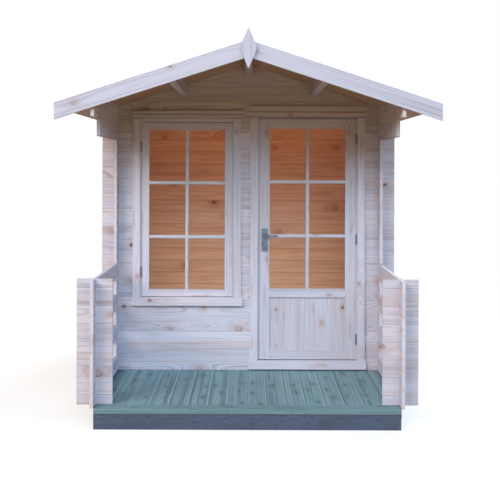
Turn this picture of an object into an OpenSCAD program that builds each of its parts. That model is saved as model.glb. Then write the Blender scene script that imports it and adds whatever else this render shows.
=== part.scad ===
// Small garden log cabin with a porch: interlocking log walls, open porch rails, boarded roof on purlins.
// Millimetres. +Z up, the front looks along -Y, the origin lies on the ground under the middle of the roof.

/* [Log walls] */
// Thickness of a wall log
log_t = 22; // [19:1:34]
// Height that one log course covers
log_h = 115; // [105:1:130]
// Length of the log ends past a corner crossing
overhang = 100; // [70:5:115]
// Chamfer along the four long edges of a log
log_chamfer = 2.5; // [1:0.5:4]
// Width of the tongue on top of a log
tongue_w = 6.5; // [5:0.5:8]
// Height of the tongue on top of a log
tongue_h = 7; // [4:0.5:10]
// Rise of the bevelled top log above its course at the outer face
plate_rise = 16; // [10:1:40]
// Inside depth between the front wall and the back wall
room_d = 1948; // [1500:2:3000]
// Wall that shows between the left corner and the window casing
window_strip = 108; // [60:1:200]
// Wall that shows between the window casing and the door casing
pier_w = 68; // [50:1:200]
// Wall that shows between the door casing and the right corner
door_strip = 100; // [60:1:200]

/* [Porch] */
// Depth of the porch, from the front wall to the front of the corner stubs
porch_d = 1050; // [850:10:1500]
// Number of log courses in a porch rail, every second one open between the corners
rail_courses = 7; // [5:2:9]
// Length of a corner stub, and of a rail block, behind its crossing
stub_in = 108; // [60:1:160]
// Distance that the bracket log under the eaves stops short of the rail's end
bracket_step = 250; // [150:10:400]

/* [Floor] */
// Height of the floor bearers
bearer_h = 100; // [60:1:150]
// Thickness of a bearer or joist
bearer_t = 45; // [35:1:70]
// Thickness of the deck boards
deck_t = 30; // [19:1:40]
// Width of the cross board along the front of the deck
nosing_w = 114; // [90:1:130]
// Distance that the deck runs on past the porch rails
deck_lip = 15; // [5:1:30]
// Set-back of the front bearer under the deck edge
bearer_setback = 4; // [2:1:30]
// Number of joists that run across under the deck boards, the first one under their front ends
joist_n = 6; // [4:1:8]
// Distance that the bearers under the side walls stop short of the rail's end
wall_bearer_step = 262; // [150:2:600]

/* [Roof] */
// Pitch of the roof in degrees
roof_pitch = 18; // [14:0.5:24]
// Thickness of the roof boards
roof_t = 19; // [15:1:28]
// Thickness of the roofing felt
felt_t = 3; // [2:0.5:5]
// Distance from the side wall to the eaves edge
eaves_out = 225; // [140:1:300]
// Distance that the roof boards run on past the porch rails
roof_lip = 10; // [5:1:60]
// Distance that the roof boards run on past the log ends at the back
roof_rear = 20; // [10:1:150]
// Width of a purlin
purlin_w = 48; // [35:1:70]
// Height of a purlin on its centre line
purlin_h = 78; // [60:1:110]
// Distance of the side purlins from the ridge
purlin_x = 484; // [400:2:560]
// Width of a barge board, square to its slope
barge_w = 101; // [80:1:140]
// Thickness of a barge board
barge_t = 20; // [15:1:28]
// Height of a barge board's top edge above the felt
barge_rise = 6; // [0:1:12]
// Width of the diamond finial
finial_w = 110; // [80:1:160]
// Height of the diamond finial
finial_h = 261; // [200:1:340]
// Thickness of the diamond finial
finial_t = 20; // [12:1:30]
// Distance of the finial's centre below the top of the barge boards
finial_drop = 52; // [30:1:80]

/* [Frames and casings] */
// Thickness of a jamb
jamb_t = 40; // [34:1:60]
// Depth of a jamb from the outside of the logs
jamb_d = 64; // [60:1:90]
// Projection of the stop that the leaf or sash closes against
stop_w = 12; // [8:1:18]
// Width of the side casings
casing_w = 56; // [48:1:80]
// Thickness of the casing boards
casing_t = 18; // [14:1:26]
// Height of the casing board over a frame
head_casing_h = 38; // [30:1:60]
// Height of the cap board over the head casing
cap_h = 45; // [30:1:60]
// Thickness of the cap board
cap_t = 26; // [20:1:40]
// Height of the casing board under a frame
foot_casing_h = 65; // [44:1:70]
// Thickness of the casing board under a frame
foot_casing_t = 24; // [16:1:32]
// Length that head and foot casings run on past the side casings
casing_ears = 11; // [0:1:25]
// Room for the logs to settle over a frame, behind its casing
settle_gap = 10; // [8:1:20]
// Jamb that shows beside a casing board
reveal = 6; // [5:0.5:10]

/* [Window] */
// Width of the window sash
sash_w = 680; // [500:2:900]
// Height of the window sash
sash_h = 1303; // [900:1:1400]
// Distance of the sash top below the top of the door leaf
sash_drop = 32; // [0:1:60]
// Width of the sash's stiles
sash_stile_w = 55; // [45:1:80]
// Height of the sash's top rail
sash_top_h = 52; // [45:1:80]
// Height of the sash's bottom rail
sash_foot_h = 49; // [45:1:80]
// Jamb that shows over the sash, under the window's head casing
window_reveal = 29; // [5:1:34]
// Height of the casing board over the window
window_head_h = 28; // [20:1:60]
// Height of the cap board over the window
window_cap_h = 30; // [20:1:60]
// Distance of a window hinge from the end of the sash
sash_hinge_inset = 182; // [100:1:260]

/* [Door] */
// Width of the door leaf
door_w = 723; // [600:1:900]
// Height of the glass in the door
door_glass_h = 1207; // [900:1:1300]
// Height of the boarded lower panel
door_panel_h = 395; // [300:1:500]
// Thickness of the door leaf and the window sash
leaf_t = 38; // [34:1:45]
// Width of the door stiles
stile_w = 77; // [66:1:110]
// Height of the door's top rail
top_rail_h = 72; // [50:1:100]
// Height of the door's middle rail
mid_rail_h = 62; // [50:1:120]
// Height of the door's bottom rail
foot_rail_h = 69; // [50:1:140]
// Height of the door sill above the floor
sill_h = 76; // [66:1:110]
// Thickness of the glass
glass_t = 4; // [3:0.5:6]
// Thickness of the lower panel
panel_t = 14; // [10:1:18]
// Depth of the grooves that hold the glass and the panel
rebate_d = 9; // [6:1:12]

/* [Door furniture] */
// Height of the lever spindle above the floor
lever_z = 1009; // [850:1:1100]
// Distance of the spindle from the edge of the door leaf
lever_inset = 41; // [32:1:56]
// Length of the lever from its spindle
lever_len = 97; // [75:1:120]
// Width of the lever arm
lever_w = 15; // [12:1:18]
// Width of a handle plate
plate_w = 47; // [36:1:52]
// Height of a handle plate
plate_h = 169; // [140:1:220]
// Thickness of a handle plate
plate_t = 7; // [4:1:10]
// Distance of the spindle below the top of its plate
plate_top = 54; // [40:1:80]
// Radius of the spindle
spindle_r = 4.5; // [3.5:0.5:5.5]
// Radius of the lever neck
neck_r = 9; // [8:0.5:11]
// Length of the lever neck in front of the door
neck_len = 34; // [26:1:45]
// Length of a hinge barrel
barrel_h = 75; // [50:1:100]
// Radius of a hinge barrel
barrel_r = 5; // [4.5:0.5:6]
// Radius of a hinge pin
pin_r = 2.5; // [1.5:0.5:3]
// Distance of the outer hinges from the ends of the door leaf
hinge_inset = 150; // [100:1:300]

/* [Clearances] */
// Gap between log courses, in the corner notches and at other close joints
joint_gap = 0.3; // [0.2:0.05:0.5]
// Running gap round the door leaf
door_gap = 6.5; // [6:0.5:8]
// Gap round the window sash
sash_gap = 4; // [3:0.5:6]
// Gap between the deck and the side walls
deck_gap = 4; // [2:1:8]
// Running gap round the spindle and the lever neck
spindle_gap = 0.3; // [0.2:0.05:0.5]
// Running gap round a hinge pin
pin_gap = 0.05; // [0.03:0.01:0.1]

/* [Hidden] */
$fn = 48;
cut = 1;
half_h = log_h / 2;
quarter_h = log_h / 4;
slope = tan(roof_pitch);

// Frame openings, and the outside of the casings
door_h = top_rail_h + door_glass_h + mid_rail_h + door_panel_h + foot_rail_h;
door_open_w = door_w + 2 * door_gap;
door_open_h = door_h + 2 * door_gap;
sash_open_w = sash_w + 2 * sash_gap;
sash_open_h = sash_h + 2 * sash_gap;
door_casing_w = door_open_w + 2 * (reveal + casing_w);
sash_casing_w = sash_open_w + 2 * (reveal + casing_w);

// Plan: strip, window, pier, door and strip fill the front wall from corner to corner
wall_in = (window_strip + sash_casing_w + pier_w + door_casing_w + door_strip) / 2;
wall_mid = wall_in + log_t / 2;
wall_half = wall_in + log_t;
log_end = wall_half + overhang;
window_x = -wall_in + window_strip + sash_casing_w / 2;
door_x = wall_in - door_strip - door_casing_w / 2;
deck_half = wall_in - deck_gap;
eaves_x = wall_half + eaves_out;

// Depth: the roof with its barge boards and finials is centred on the origin
wall_d = room_d + 2 * log_t;
rail_reach = porch_d + overhang;
front_reach = rail_reach + roof_lip + barge_t + finial_t;
rear_reach = overhang + roof_rear + barge_t + finial_t;
y_front = (front_reach - rear_reach - wall_d) / 2;
y_back = y_front + wall_d;
y_front_mid = y_front + log_t / 2;
y_back_mid = y_back - log_t / 2;
y_stub_mid = y_front - porch_d + log_t / 2;
y_rail_end = y_front - rail_reach;
y_rear_end = y_back + overhang;
y_roof_front = y_rail_end - roof_lip;
y_roof_rear = y_rear_end + roof_rear;
y_deck_front = y_rail_end - deck_lip;
y_nosing = y_deck_front + nosing_w;

// Heights: the eaves clear the cap over the door
floor_z = bearer_h + deck_t;
door_z = floor_z + sill_h;
door_leaf_z = door_z + door_gap;
sash_leaf_z = door_leaf_z + door_h - sash_drop - sash_h;
sash_z = sash_leaf_z - sash_gap;
cap_gap = 3;
cap_room = 8;
cap_top = door_z + door_open_h + reveal + head_casing_h + cap_gap + cap_h;
cap_end = door_x + door_casing_w / 2 + casing_ears;
eaves_need = cap_top + cap_room - floor_z - plate_rise - (wall_half - cap_end) * slope;
courses = ceil(eaves_need / log_h);
eaves_z = floor_z + courses * log_h + plate_rise;
ridge_z = eaves_z + wall_half * slope;
roof_v = roof_t / cos(roof_pitch);
felt_v = felt_t / cos(roof_pitch);
barge_v = barge_w / cos(roof_pitch);
barge_top = ridge_z + roof_v + felt_v + barge_rise;
gable_last = floor((ridge_z - floor_z - half_h) / log_h);

// Log joints
tongue_fit = 0.4;
groove_w = tongue_w + 2 * tongue_fit;
groove_d = tongue_h + 2 * tongue_fit;
notch_w = log_t + 2 * joint_gap;

// Door and sash details
pane_fit = 0.4;
door_pane_w = door_w - 2 * stile_w;
sash_pane_w = sash_w - 2 * sash_stile_w;
sash_pane_h = sash_h - sash_top_h - sash_foot_h;
panel_z = door_leaf_z + foot_rail_h;
door_glass_z = panel_z + door_panel_h + mid_rail_h;
groove_mid = y_front + leaf_t / 2;
y_stop = y_front + leaf_t + door_gap;
lever_x = door_x - door_w / 2 + lever_inset;
plate_round = 4;
key_r = 4;
key_drop = 62;

// Hinges: leaves in the gap beside the door, barrels just in front of its face
hinge_leaf_t = 1.8;
hinge_leaf_d = 26;
barrel_out = barrel_r + 1.5;
barrel_gap = 0.5;
hinge_x = door_x + door_w / 2 + door_gap / 2;
hinge_y = y_front - barrel_out;
hinge_heights = [hinge_inset, door_h / 2, door_h - hinge_inset];
sash_hinge_x = window_x - sash_w / 2 - sash_gap / 2;
sash_hinge_heights = [sash_hinge_inset, sash_h - sash_hinge_inset];

whitewash = "#d3d0dc";
pine = "#c18c5c";
teal = "#6f9696";
slate = "#566079";
felt = "#4d5254";
pewter = "#7d8790";
iron = "#4a4c52";
pane = "#9fb4bc";

// Height of the roof's underside over a distance from the ridge line
function soffit(x) = ridge_z - abs(x) * slope;

// A box between two corners
module box(low, high) translate(low) cube(high - low);

// A section drawn in Y and Z carried along X, and one drawn in X and Z carried along Y
module along_x(x0, x1) translate([x0, 0, 0]) rotate([90, 0, 90]) linear_extrude(x1 - x0) children();
module along_y(y0, y1) translate([0, y1, 0]) rotate([90, 0, 0]) linear_extrude(y1 - y0) children();

// Section of one log: chamfered edges, a groove underneath and, if asked, a tongue on top
module log_section(h, tongue = true) {
    side = log_t / 2;
    top = h - joint_gap;
    difference() {
        polygon([
            [-side, log_chamfer], [log_chamfer - side, 0], [side - log_chamfer, 0], [side, log_chamfer],
            [side, top - log_chamfer], [side - log_chamfer, top], [log_chamfer - side, top],
            [-side, top - log_chamfer]
        ]);
        translate([-groove_w / 2, -cut]) square([groove_w, groove_d + cut]);
    }
    if (tongue) translate([-tongue_w / 2, top - cut]) square([tongue_w, tongue_h + cut]);
}

// Quarter-height notches in a log at a crossing: from below up to a quarter, and from three quarters up
module crossing_notch(low, high) {
    translate([-notch_w / 2, -notch_w / 2, -cut]) cube([notch_w, notch_w, low + joint_gap / 2 + cut]);
    translate([-notch_w / 2, -notch_w / 2, high - joint_gap / 2]) cube([notch_w, notch_w, log_h]);
}

// Everything below the roof boards
module under_roof() {
    reach = eaves_x + cut;
    along_y(y_roof_front - cut, y_roof_rear + cut)
        polygon([[-reach, 0], [reach, 0], [reach, soffit(reach) - joint_gap], [0, ridge_z - joint_gap],
            [-reach, soffit(reach) - joint_gap]]);
}

// One side log of course i, from y0 to y1, notched at the crossings it passes
module side_log(i, y0, y1) {
    h = i == courses - 1 ? log_h + plate_rise + log_t : log_h;
    intersection() {
        translate([wall_mid, 0, floor_z + i * log_h]) difference() {
            along_y(y0, y1) log_section(h, i != rail_courses - 1 && i != courses - 1);
            for (y = [y_stub_mid, y_front_mid, y_back_mid])
                if (y > y0 && y < y1) translate([0, y, 0]) crossing_notch(quarter_h, 3 * quarter_h);
        }
        under_roof();
    }
}

// Right side wall: porch rails with every second course open, plain courses, bracket log and top log
module side_wall() {
    for (i = [0 : courses - 1]) {
        railed = i < rail_courses && i % 2 == 0;
        front = i == courses - 1 || railed ? y_rail_end
            : i == courses - 2 ? y_rail_end + bracket_step : y_front - overhang;
        side_log(i, front, y_rear_end);
        if (i < rail_courses && !railed) side_log(i, y_rail_end, y_stub_mid + log_t / 2 + stub_in);
    }
}

// One cross log of a front or back wall: course -1 is the half log on the floor
module cross_log(j, x0, x1, y, top_notch = true, tongue = true) {
    h = j < 0 ? half_h : log_h;
    low = j < 0 ? -joint_gap / 2 : quarter_h;
    high = top_notch ? (j < 0 ? quarter_h : 3 * quarter_h) : h + tongue_h + cut;
    translate([0, y, j < 0 ? floor_z : floor_z + half_h + j * log_h]) difference() {
        along_x(x0, x1) log_section(h, tongue);
        for (x = [-wall_mid, wall_mid]) if (x > x0 && x < x1) translate([x, 0, 0]) crossing_notch(low, high);
    }
}

// Section and place of a purlin, grown by a fit for the notch it lies in
module purlin(x, fit = 0) {
    side = purlin_w / 2 + fit;
    base = soffit(x) - purlin_h - fit;
    intersection() {
        along_y(y_roof_front, y_roof_rear)
            translate([x - side, base]) square([2 * side, purlin_h + purlin_w]);
        under_roof();
    }
}

// Wall of full cross logs up to the first one that the roof cuts
module cross_wall(y) {
    for (j = [-1 : courses - 2]) cross_log(j, -log_end, log_end, y);
    intersection() {
        cross_log(courses - 1, -log_end, log_end, y, top_notch = false);
        under_roof();
    }
}

// Logs of a gable, cut to the roof's slope and let round the purlins
module gable(y) {
    difference() {
        intersection() {
            for (j = [courses : gable_last]) cross_log(j, -log_end, log_end, y, top_notch = false);
            under_roof();
        }
        for (x = [-purlin_x, 0, purlin_x]) purlin(x, joint_gap);
    }
}

// Short cross logs at the right front corner of the porch, with a half log at bottom and top
module stub() {
    x0 = wall_in - stub_in;
    top_z = floor_z + rail_courses * log_h;
    for (j = [-1 : rail_courses - 2]) cross_log(j, x0, log_end, y_stub_mid);
    intersection() {
        cross_log(rail_courses - 1, x0, log_end, y_stub_mid, top_notch = false, tongue = false);
        box([x0 - cut, y_stub_mid - log_t, 0], [log_end + cut, y_stub_mid + log_t, top_z]);
    }
}

// Hole in the logs for a frame: its opening, the jambs, a close joint and room to settle over it
module frame_hole(x, z, w, h, under) {
    grow = jamb_t + joint_gap;
    box([x - w / 2 - grow, y_front - cut, z - under],
        [x + w / 2 + grow, y_front + log_t + cut, z + h + grow + settle_gap]);
}

// Jambs, head and sill round an opening, with a stop behind the leaf
module frame(x, z, w, h, under, stop_y) {
    outer = w / 2 + jamb_t;
    inner = w / 2 - stop_w;
    back = y_front + jamb_d;
    for (s = [-1, 1]) translate([x, 0, 0]) {
        box([min(s * w / 2, s * outer), y_front, z], [max(s * w / 2, s * outer), back, z + h]);
        box([min(s * inner, s * w / 2 + s), stop_y, z], [max(s * inner, s * w / 2 + s), back, z + h]);
    }
    top = z + h + joint_gap;
    box([x - outer, y_front, top], [x + outer, back, z + h + jamb_t]);
    box([x - inner + joint_gap, stop_y, top - stop_w], [x + inner - joint_gap, back, top + cut]);
    base = z - joint_gap;
    box([x - outer, y_front, z - under], [x + outer, back, base]);
    box([x - inner + joint_gap, stop_y, base - cut], [x + inner - joint_gap, back, base + stop_w]);
}

// Casing boards on the outside: two sides, a head with a cap board, and a foot
module casing(x, z, w, h, over = reveal, head_h = head_casing_h, top_h = cap_h) {
    inner = w / 2 + reveal;
    outer = inner + casing_w;
    ears = outer + casing_ears;
    head_z = z + h + over;
    face = y_front - joint_gap;
    for (s = [-1, 1])
        box([x + min(s * inner, s * outer), face - casing_t, z + joint_gap],
            [x + max(s * inner, s * outer), face, head_z - joint_gap]);
    box([x - ears, face - casing_t, head_z], [x + ears, face, head_z + head_h]);
    cap_z = head_z + head_h + joint_gap;
    along_x(x - ears, x + ears)
        polygon([[face, cap_z], [face - casing_t, cap_z], [face - casing_t, cap_z + cap_gap],
            [face - cap_t, cap_z + cap_gap], [face - cap_t, cap_z + top_h - cap_gap],
            [face - casing_t, cap_z + top_h], [face, cap_z + top_h]]);
    box([x - ears, face - foot_casing_t, z - foot_casing_h], [x + ears, face, z]);
}

// Groove in stiles and rails round a pane
module pane_groove(x, z, w, h, t) {
    box([x - w / 2 - rebate_d, groove_mid - t / 2 - pane_fit, z - rebate_d],
        [x + w / 2 + rebate_d, groove_mid + t / 2 + pane_fit, z + h + rebate_d]);
}

// Pane or panel that sits in such a groove
module pane_sheet(x, z, w, h, t) {
    grip = rebate_d - pane_fit;
    box([x - w / 2 - grip, groove_mid - t / 2, z - grip],
        [x + w / 2 + grip, groove_mid + t / 2, z + h + grip]);
}

// Two upright stiles, and rails at the given heights between them
module stiles_and_rails(x, z, w, h, side, rails) {
    inner = w / 2 - side;
    for (s = [-1, 1])
        box([x + min(s * inner, s * w / 2), y_front, z],
            [x + max(s * inner, s * w / 2), y_front + leaf_t, z + h]);
    for (r = rails)
        box([x - inner + joint_gap, y_front, z + r[0]],
            [x + inner - joint_gap, y_front + leaf_t, z + r[0] + r[1]]);
}

// One slope of a sheet that lies over the roof's underside, from a lower to an upper height
module roof_slope(low, high) {
    along_y(y_roof_front, y_roof_rear)
        polygon([[0, ridge_z + low], [eaves_x, soffit(eaves_x) + low], [eaves_x, soffit(eaves_x) + high],
            [0, ridge_z + high]]);
}

// Right barge board of the front: plumb cuts at the ridge and at the eaves
module barge() {
    drop = barge_top - ridge_z;
    along_y(y_roof_front - barge_t, y_roof_front)
        polygon([[joint_gap / 2, barge_top - barge_v], [eaves_x, soffit(eaves_x) + drop - barge_v],
            [eaves_x, soffit(eaves_x) + drop], [joint_gap / 2, barge_top]]);
}

// Diamond finial over the joint of the front barge boards
module finial() {
    middle = barge_top - finial_drop;
    y = y_roof_front - barge_t;
    along_y(y - finial_t, y)
        polygon([[0, middle - finial_h / 2], [finial_w / 2, middle], [0, middle + finial_h / 2],
            [-finial_w / 2, middle]]);
}

// The same piece at the other end of the roof
module at_rear() mirror([0, 1, 0]) children();
module at_left() mirror([1, 0, 0]) children();

// Round-cornered handle plate outline with a hole for the lever neck and a keyhole, about the spindle
module plate_outline() {
    low = plate_top - plate_h;
    side = plate_w / 2;
    difference() {
        union() {
            translate([plate_round - side, low]) square([plate_w - 2 * plate_round, plate_h]);
            translate([-side, low + plate_round]) square([plate_w, plate_h - 2 * plate_round]);
            for (x = [plate_round - side, side - plate_round])
                for (z = [low + plate_round, plate_top - plate_round]) translate([x, z]) circle(plate_round);
        }
        circle(neck_r + spindle_gap);
        translate([0, -key_drop]) circle(key_r);
        translate([-key_r / 2, -key_drop - 3 * key_r]) square([key_r, 3 * key_r]);
    }
}

// Lever arm outline about the spindle: a round boss, a slim arm and a round tip
module lever_outline() {
    circle(neck_r + 1);
    translate([0, -lever_w / 2]) square([lever_len - lever_w / 2, lever_w]);
    translate([lever_len - lever_w / 2, 0]) circle(lever_w / 2);
}

// Bearers and floor
module rim_bearers() color(slate) {
    y = y_deck_front + bearer_setback;
    box([-deck_half, y, 0], [deck_half, y + bearer_t, bearer_h]);
    box([-deck_half, y_back - bearer_t, 0], [deck_half, y_back, bearer_h]);
}

module floor_joists() color(slate) {
    pitch = (y_back - bearer_t / 2 - y_nosing) / joist_n;
    for (i = [0 : joist_n - 1])
        translate([-deck_half, y_nosing + i * pitch - bearer_t / 2, 0])
            cube([2 * deck_half, bearer_t, bearer_h]);
}

module wall_bearers() color(slate) {
    x0 = deck_half + joint_gap;
    for (s = [0, 1]) mirror([s, 0, 0])
        box([x0, y_rail_end + wall_bearer_step, 0], [x0 + bearer_t, y_back, floor_z]);
}

module deck_boards() color(teal) box([-deck_half, y_nosing, bearer_h], [deck_half, y_back, floor_z]);

module deck_nosing() color(teal)
    box([-deck_half, y_deck_front, bearer_h], [deck_half, y_nosing - joint_gap, floor_z]);

// Log walls
module right_wall() color(whitewash) side_wall();
module left_wall() color(whitewash) at_left() side_wall();

module front_wall() color(whitewash) difference() {
    cross_wall(y_front_mid);
    frame_hole(door_x, door_z, door_open_w, door_open_h, sill_h + cut);
    frame_hole(window_x, sash_z, sash_open_w, sash_open_h, jamb_t + joint_gap);
}

module back_wall() color(whitewash) cross_wall(y_back_mid);
module front_gable() color(whitewash) gable(y_front_mid);
module back_gable() color(whitewash) gable(y_back_mid);
module right_stub() color(whitewash) stub();
module left_stub() color(whitewash) at_left() stub();

// Roof
module ridge_purlin() color(pine) purlin(0);
module side_purlins() color(pine) for (x = [-purlin_x, purlin_x]) purlin(x);
module right_roof_boards() color(pine) roof_slope(0, roof_v);
module left_roof_boards() color(pine) at_left() roof_slope(0, roof_v);
module right_roof_felt() color(felt) roof_slope(roof_v, roof_v + felt_v);
module left_roof_felt() color(felt) at_left() roof_slope(roof_v, roof_v + felt_v);
module front_right_barge() color(whitewash) barge();
module front_left_barge() color(whitewash) at_left() barge();
module rear_right_barge() color(whitewash) at_rear() barge();
module rear_left_barge() color(whitewash) at_rear() at_left() barge();
module front_finial() color(whitewash) finial();
module rear_finial() color(whitewash) at_rear() finial();

// Window
module window_frame() color(whitewash)
    frame(window_x, sash_z, sash_open_w, sash_open_h, jamb_t, y_front + leaf_t + joint_gap);

module window_casing() color(whitewash)
    casing(window_x, sash_z, sash_open_w, sash_open_h, window_reveal, window_head_h, window_cap_h);

module window_sash() color(whitewash) difference() {
    stiles_and_rails(window_x, sash_leaf_z, sash_w, sash_h, sash_stile_w,
        [[0, sash_foot_h], [sash_h - sash_top_h, sash_top_h]]);
    pane_groove(window_x, sash_leaf_z + sash_foot_h, sash_pane_w, sash_pane_h, glass_t);
}

module window_glass() color(pane)
    pane_sheet(window_x, sash_leaf_z + sash_foot_h, sash_pane_w, sash_pane_h, glass_t);

module window_hinges() color(iron) for (z = sash_hinge_heights)
    translate([sash_hinge_x, hinge_y, sash_leaf_z + z - barrel_h / 2]) {
        side = sash_gap / 2 - joint_gap;
        cylinder(r = barrel_r, h = barrel_h);
        box([-side, 0, 0], [side, barrel_out + hinge_leaf_d, barrel_h]);
    }

// Door
module door_frame() color(whitewash) frame(door_x, door_z, door_open_w, door_open_h, sill_h, y_stop);
module door_casing() color(whitewash) casing(door_x, door_z, door_open_w, door_open_h);

module door_leaf() color(whitewash) difference() {
    stiles_and_rails(door_x, door_leaf_z, door_w, door_h, stile_w,
        [[0, foot_rail_h], [foot_rail_h + door_panel_h, mid_rail_h], [door_h - top_rail_h, top_rail_h]]);
    pane_groove(door_x, panel_z, door_pane_w, door_panel_h, panel_t);
    pane_groove(door_x, door_glass_z, door_pane_w, door_glass_h, glass_t);
    translate([lever_x, y_front + leaf_t / 2, floor_z + lever_z]) rotate([90, 0, 0])
        cylinder(r = spindle_r + spindle_gap, h = leaf_t + 2 * cut, center = true);
}

module door_panel() color(whitewash) pane_sheet(door_x, panel_z, door_pane_w, door_panel_h, panel_t);
module door_glass() color(pane) pane_sheet(door_x, door_glass_z, door_pane_w, door_glass_h, glass_t);

// Hinges: leaf and two end knuckles with the pin on the frame, leaf and middle knuckle on the door
module door_hinge_frame_side() color(iron) for (z = hinge_heights)
    translate([hinge_x, hinge_y, door_leaf_z + z]) {
        knuckle = barrel_h / 3;
        translate([0, 0, -barrel_h / 2]) cylinder(r = pin_r, h = barrel_h);
        for (base = [-barrel_h / 2, barrel_h / 6]) translate([0, 0, base]) {
            cylinder(r = barrel_r, h = knuckle);
            box([door_gap / 2 - hinge_leaf_t, 0, 0], [door_gap / 2, barrel_out + hinge_leaf_d, knuckle]);
        }
        box([door_gap / 2 - hinge_leaf_t, barrel_r + pin_r, -barrel_h / 2],
            [door_gap / 2, barrel_out + hinge_leaf_d, barrel_h / 2]);
    }

module door_hinge_leaf_side() color(iron) for (z = hinge_heights)
    translate([hinge_x, hinge_y, door_leaf_z + z]) {
        knuckle = barrel_h / 3 - 2 * barrel_gap;
        difference() {
            union() {
                translate([0, 0, -knuckle / 2]) cylinder(r = barrel_r, h = knuckle);
                box([-door_gap / 2, 0, -knuckle / 2],
                    [hinge_leaf_t - door_gap / 2, barrel_out + hinge_leaf_d, knuckle / 2]);
            }
            cylinder(r = pin_r + pin_gap, h = barrel_h, center = true);
        }
    }

// Handle plates on both faces, and the two levers on one spindle
module door_handle_plates() color(pewter) translate([lever_x, 0, floor_z + lever_z]) {
    along_y(y_front - plate_t, y_front) plate_outline();
    along_y(y_front + leaf_t, y_front + leaf_t + plate_t) plate_outline();
}

module door_lever() color(pewter) translate([lever_x, 0, floor_z + lever_z]) {
    outer = y_front - neck_len;
    inner = y_front + leaf_t + neck_len;
    along_y(outer, inner) circle(spindle_r);
    along_y(outer, y_front - joint_gap) circle(neck_r);
    along_y(y_front + leaf_t + joint_gap, inner) circle(neck_r);
    along_y(outer - lever_w / 2, outer + lever_w / 4) lever_outline();
    along_y(inner - lever_w / 4, inner + lever_w / 2) lever_outline();
}

rim_bearers();
floor_joists();
wall_bearers();
deck_boards();
deck_nosing();
left_wall();
right_wall();
front_wall();
back_wall();
front_gable();
back_gable();
left_stub();
right_stub();
ridge_purlin();
side_purlins();
left_roof_boards();
right_roof_boards();
left_roof_felt();
right_roof_felt();
front_left_barge();
front_right_barge();
rear_left_barge();
rear_right_barge();
front_finial();
rear_finial();
window_frame();
window_casing();
window_sash();
window_glass();
window_hinges();
door_frame();
door_casing();
door_leaf();
door_panel();
door_glass();
door_hinge_frame_side();
door_hinge_leaf_side();
door_handle_plates();
door_lever();
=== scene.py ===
"""Looks of a small garden log cabin: whitewashed logs, a stained deck, clear panes and a felted roof.

Every length is in metres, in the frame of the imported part: +Z up, and the front looks along -Y.
"""
import logging
import math
from collections.abc import Callable, Mapping, Sequence
from dataclasses import dataclass, replace
from enum import Enum

import bpy
import numpy as np
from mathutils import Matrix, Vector


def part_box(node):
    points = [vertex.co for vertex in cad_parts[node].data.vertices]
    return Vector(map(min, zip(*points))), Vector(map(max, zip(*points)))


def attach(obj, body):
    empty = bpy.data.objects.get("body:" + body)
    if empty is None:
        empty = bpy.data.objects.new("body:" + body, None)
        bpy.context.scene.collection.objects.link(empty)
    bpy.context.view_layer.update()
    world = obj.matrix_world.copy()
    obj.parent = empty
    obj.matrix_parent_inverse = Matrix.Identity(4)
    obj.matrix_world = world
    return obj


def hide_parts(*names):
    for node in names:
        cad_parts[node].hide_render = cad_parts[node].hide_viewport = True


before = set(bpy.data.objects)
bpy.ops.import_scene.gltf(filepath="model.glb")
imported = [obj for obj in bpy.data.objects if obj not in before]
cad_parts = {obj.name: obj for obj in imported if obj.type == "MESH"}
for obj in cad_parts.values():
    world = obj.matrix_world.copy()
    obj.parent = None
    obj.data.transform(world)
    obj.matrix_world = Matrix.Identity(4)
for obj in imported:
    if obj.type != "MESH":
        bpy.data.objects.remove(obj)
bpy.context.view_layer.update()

log = logging.getLogger("cabin")
Colour = tuple[float, float, float]
Floats = np.ndarray | float
CABIN, DOOR, HANDLE = "cabin", "door", "door_handle"
GLASS_GRIP = 0.0086
BLEND_ANGLE = 40.0


class Axis(Enum):
    """The three directions of the frame."""

    X = 0
    Y = 1
    Z = 2


class Side(Enum):
    """Left and right of the ridge, as the sign of X."""

    LEFT = -1
    RIGHT = 1

    @property
    def word(self) -> str:
        """The side's name, as it stands in the names of nodes."""
        return self.name.lower()


class Face(Enum):
    """Outside and inside of the front wall, as the sign of Y that a piece looks along."""

    OUTSIDE = -1
    INSIDE = 1

    def plane(self, low: Vector, high: Vector) -> float:
        """Returns the place in Y of this face of a box."""
        return low.y if self is Face.OUTSIDE else high.y


def halfway(node: str, axis: Axis) -> float:
    """Returns the middle of a node's box along an axis."""
    low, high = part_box(node)
    return (low[axis.value] + high[axis.value]) / 2


def srgb(red: int, green: int, blue: int) -> Colour:
    """Turns three display values from 0 to 255 into a linear colour.

    Args:
        red: the red value.
        green: the green value.
        blue: the blue value.

    Returns:
        The linear colour.
    """
    shares = np.array([red, green, blue]) / 255
    linear = np.where(shares <= 0.04045, shares / 12.92, ((shares + 0.055) / 1.055) ** 2.4)
    return tuple(float(value) for value in linear)


def math_method(operation: str, swapped: bool = False) -> Callable[..., "Field"]:
    """Makes a method of Field that adds one Math node.

    Args:
        operation: the node's operation.
        swapped: whether the other value comes first.

    Returns:
        The method.
    """

    def method(self: "Field", other: "Value" = 0.0) -> "Field":
        """Returns the Math node's result on this value and another."""
        first, second = (other, self) if swapped else (self, other)
        return self.sheet.math(operation, first, second)

    return method


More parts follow.
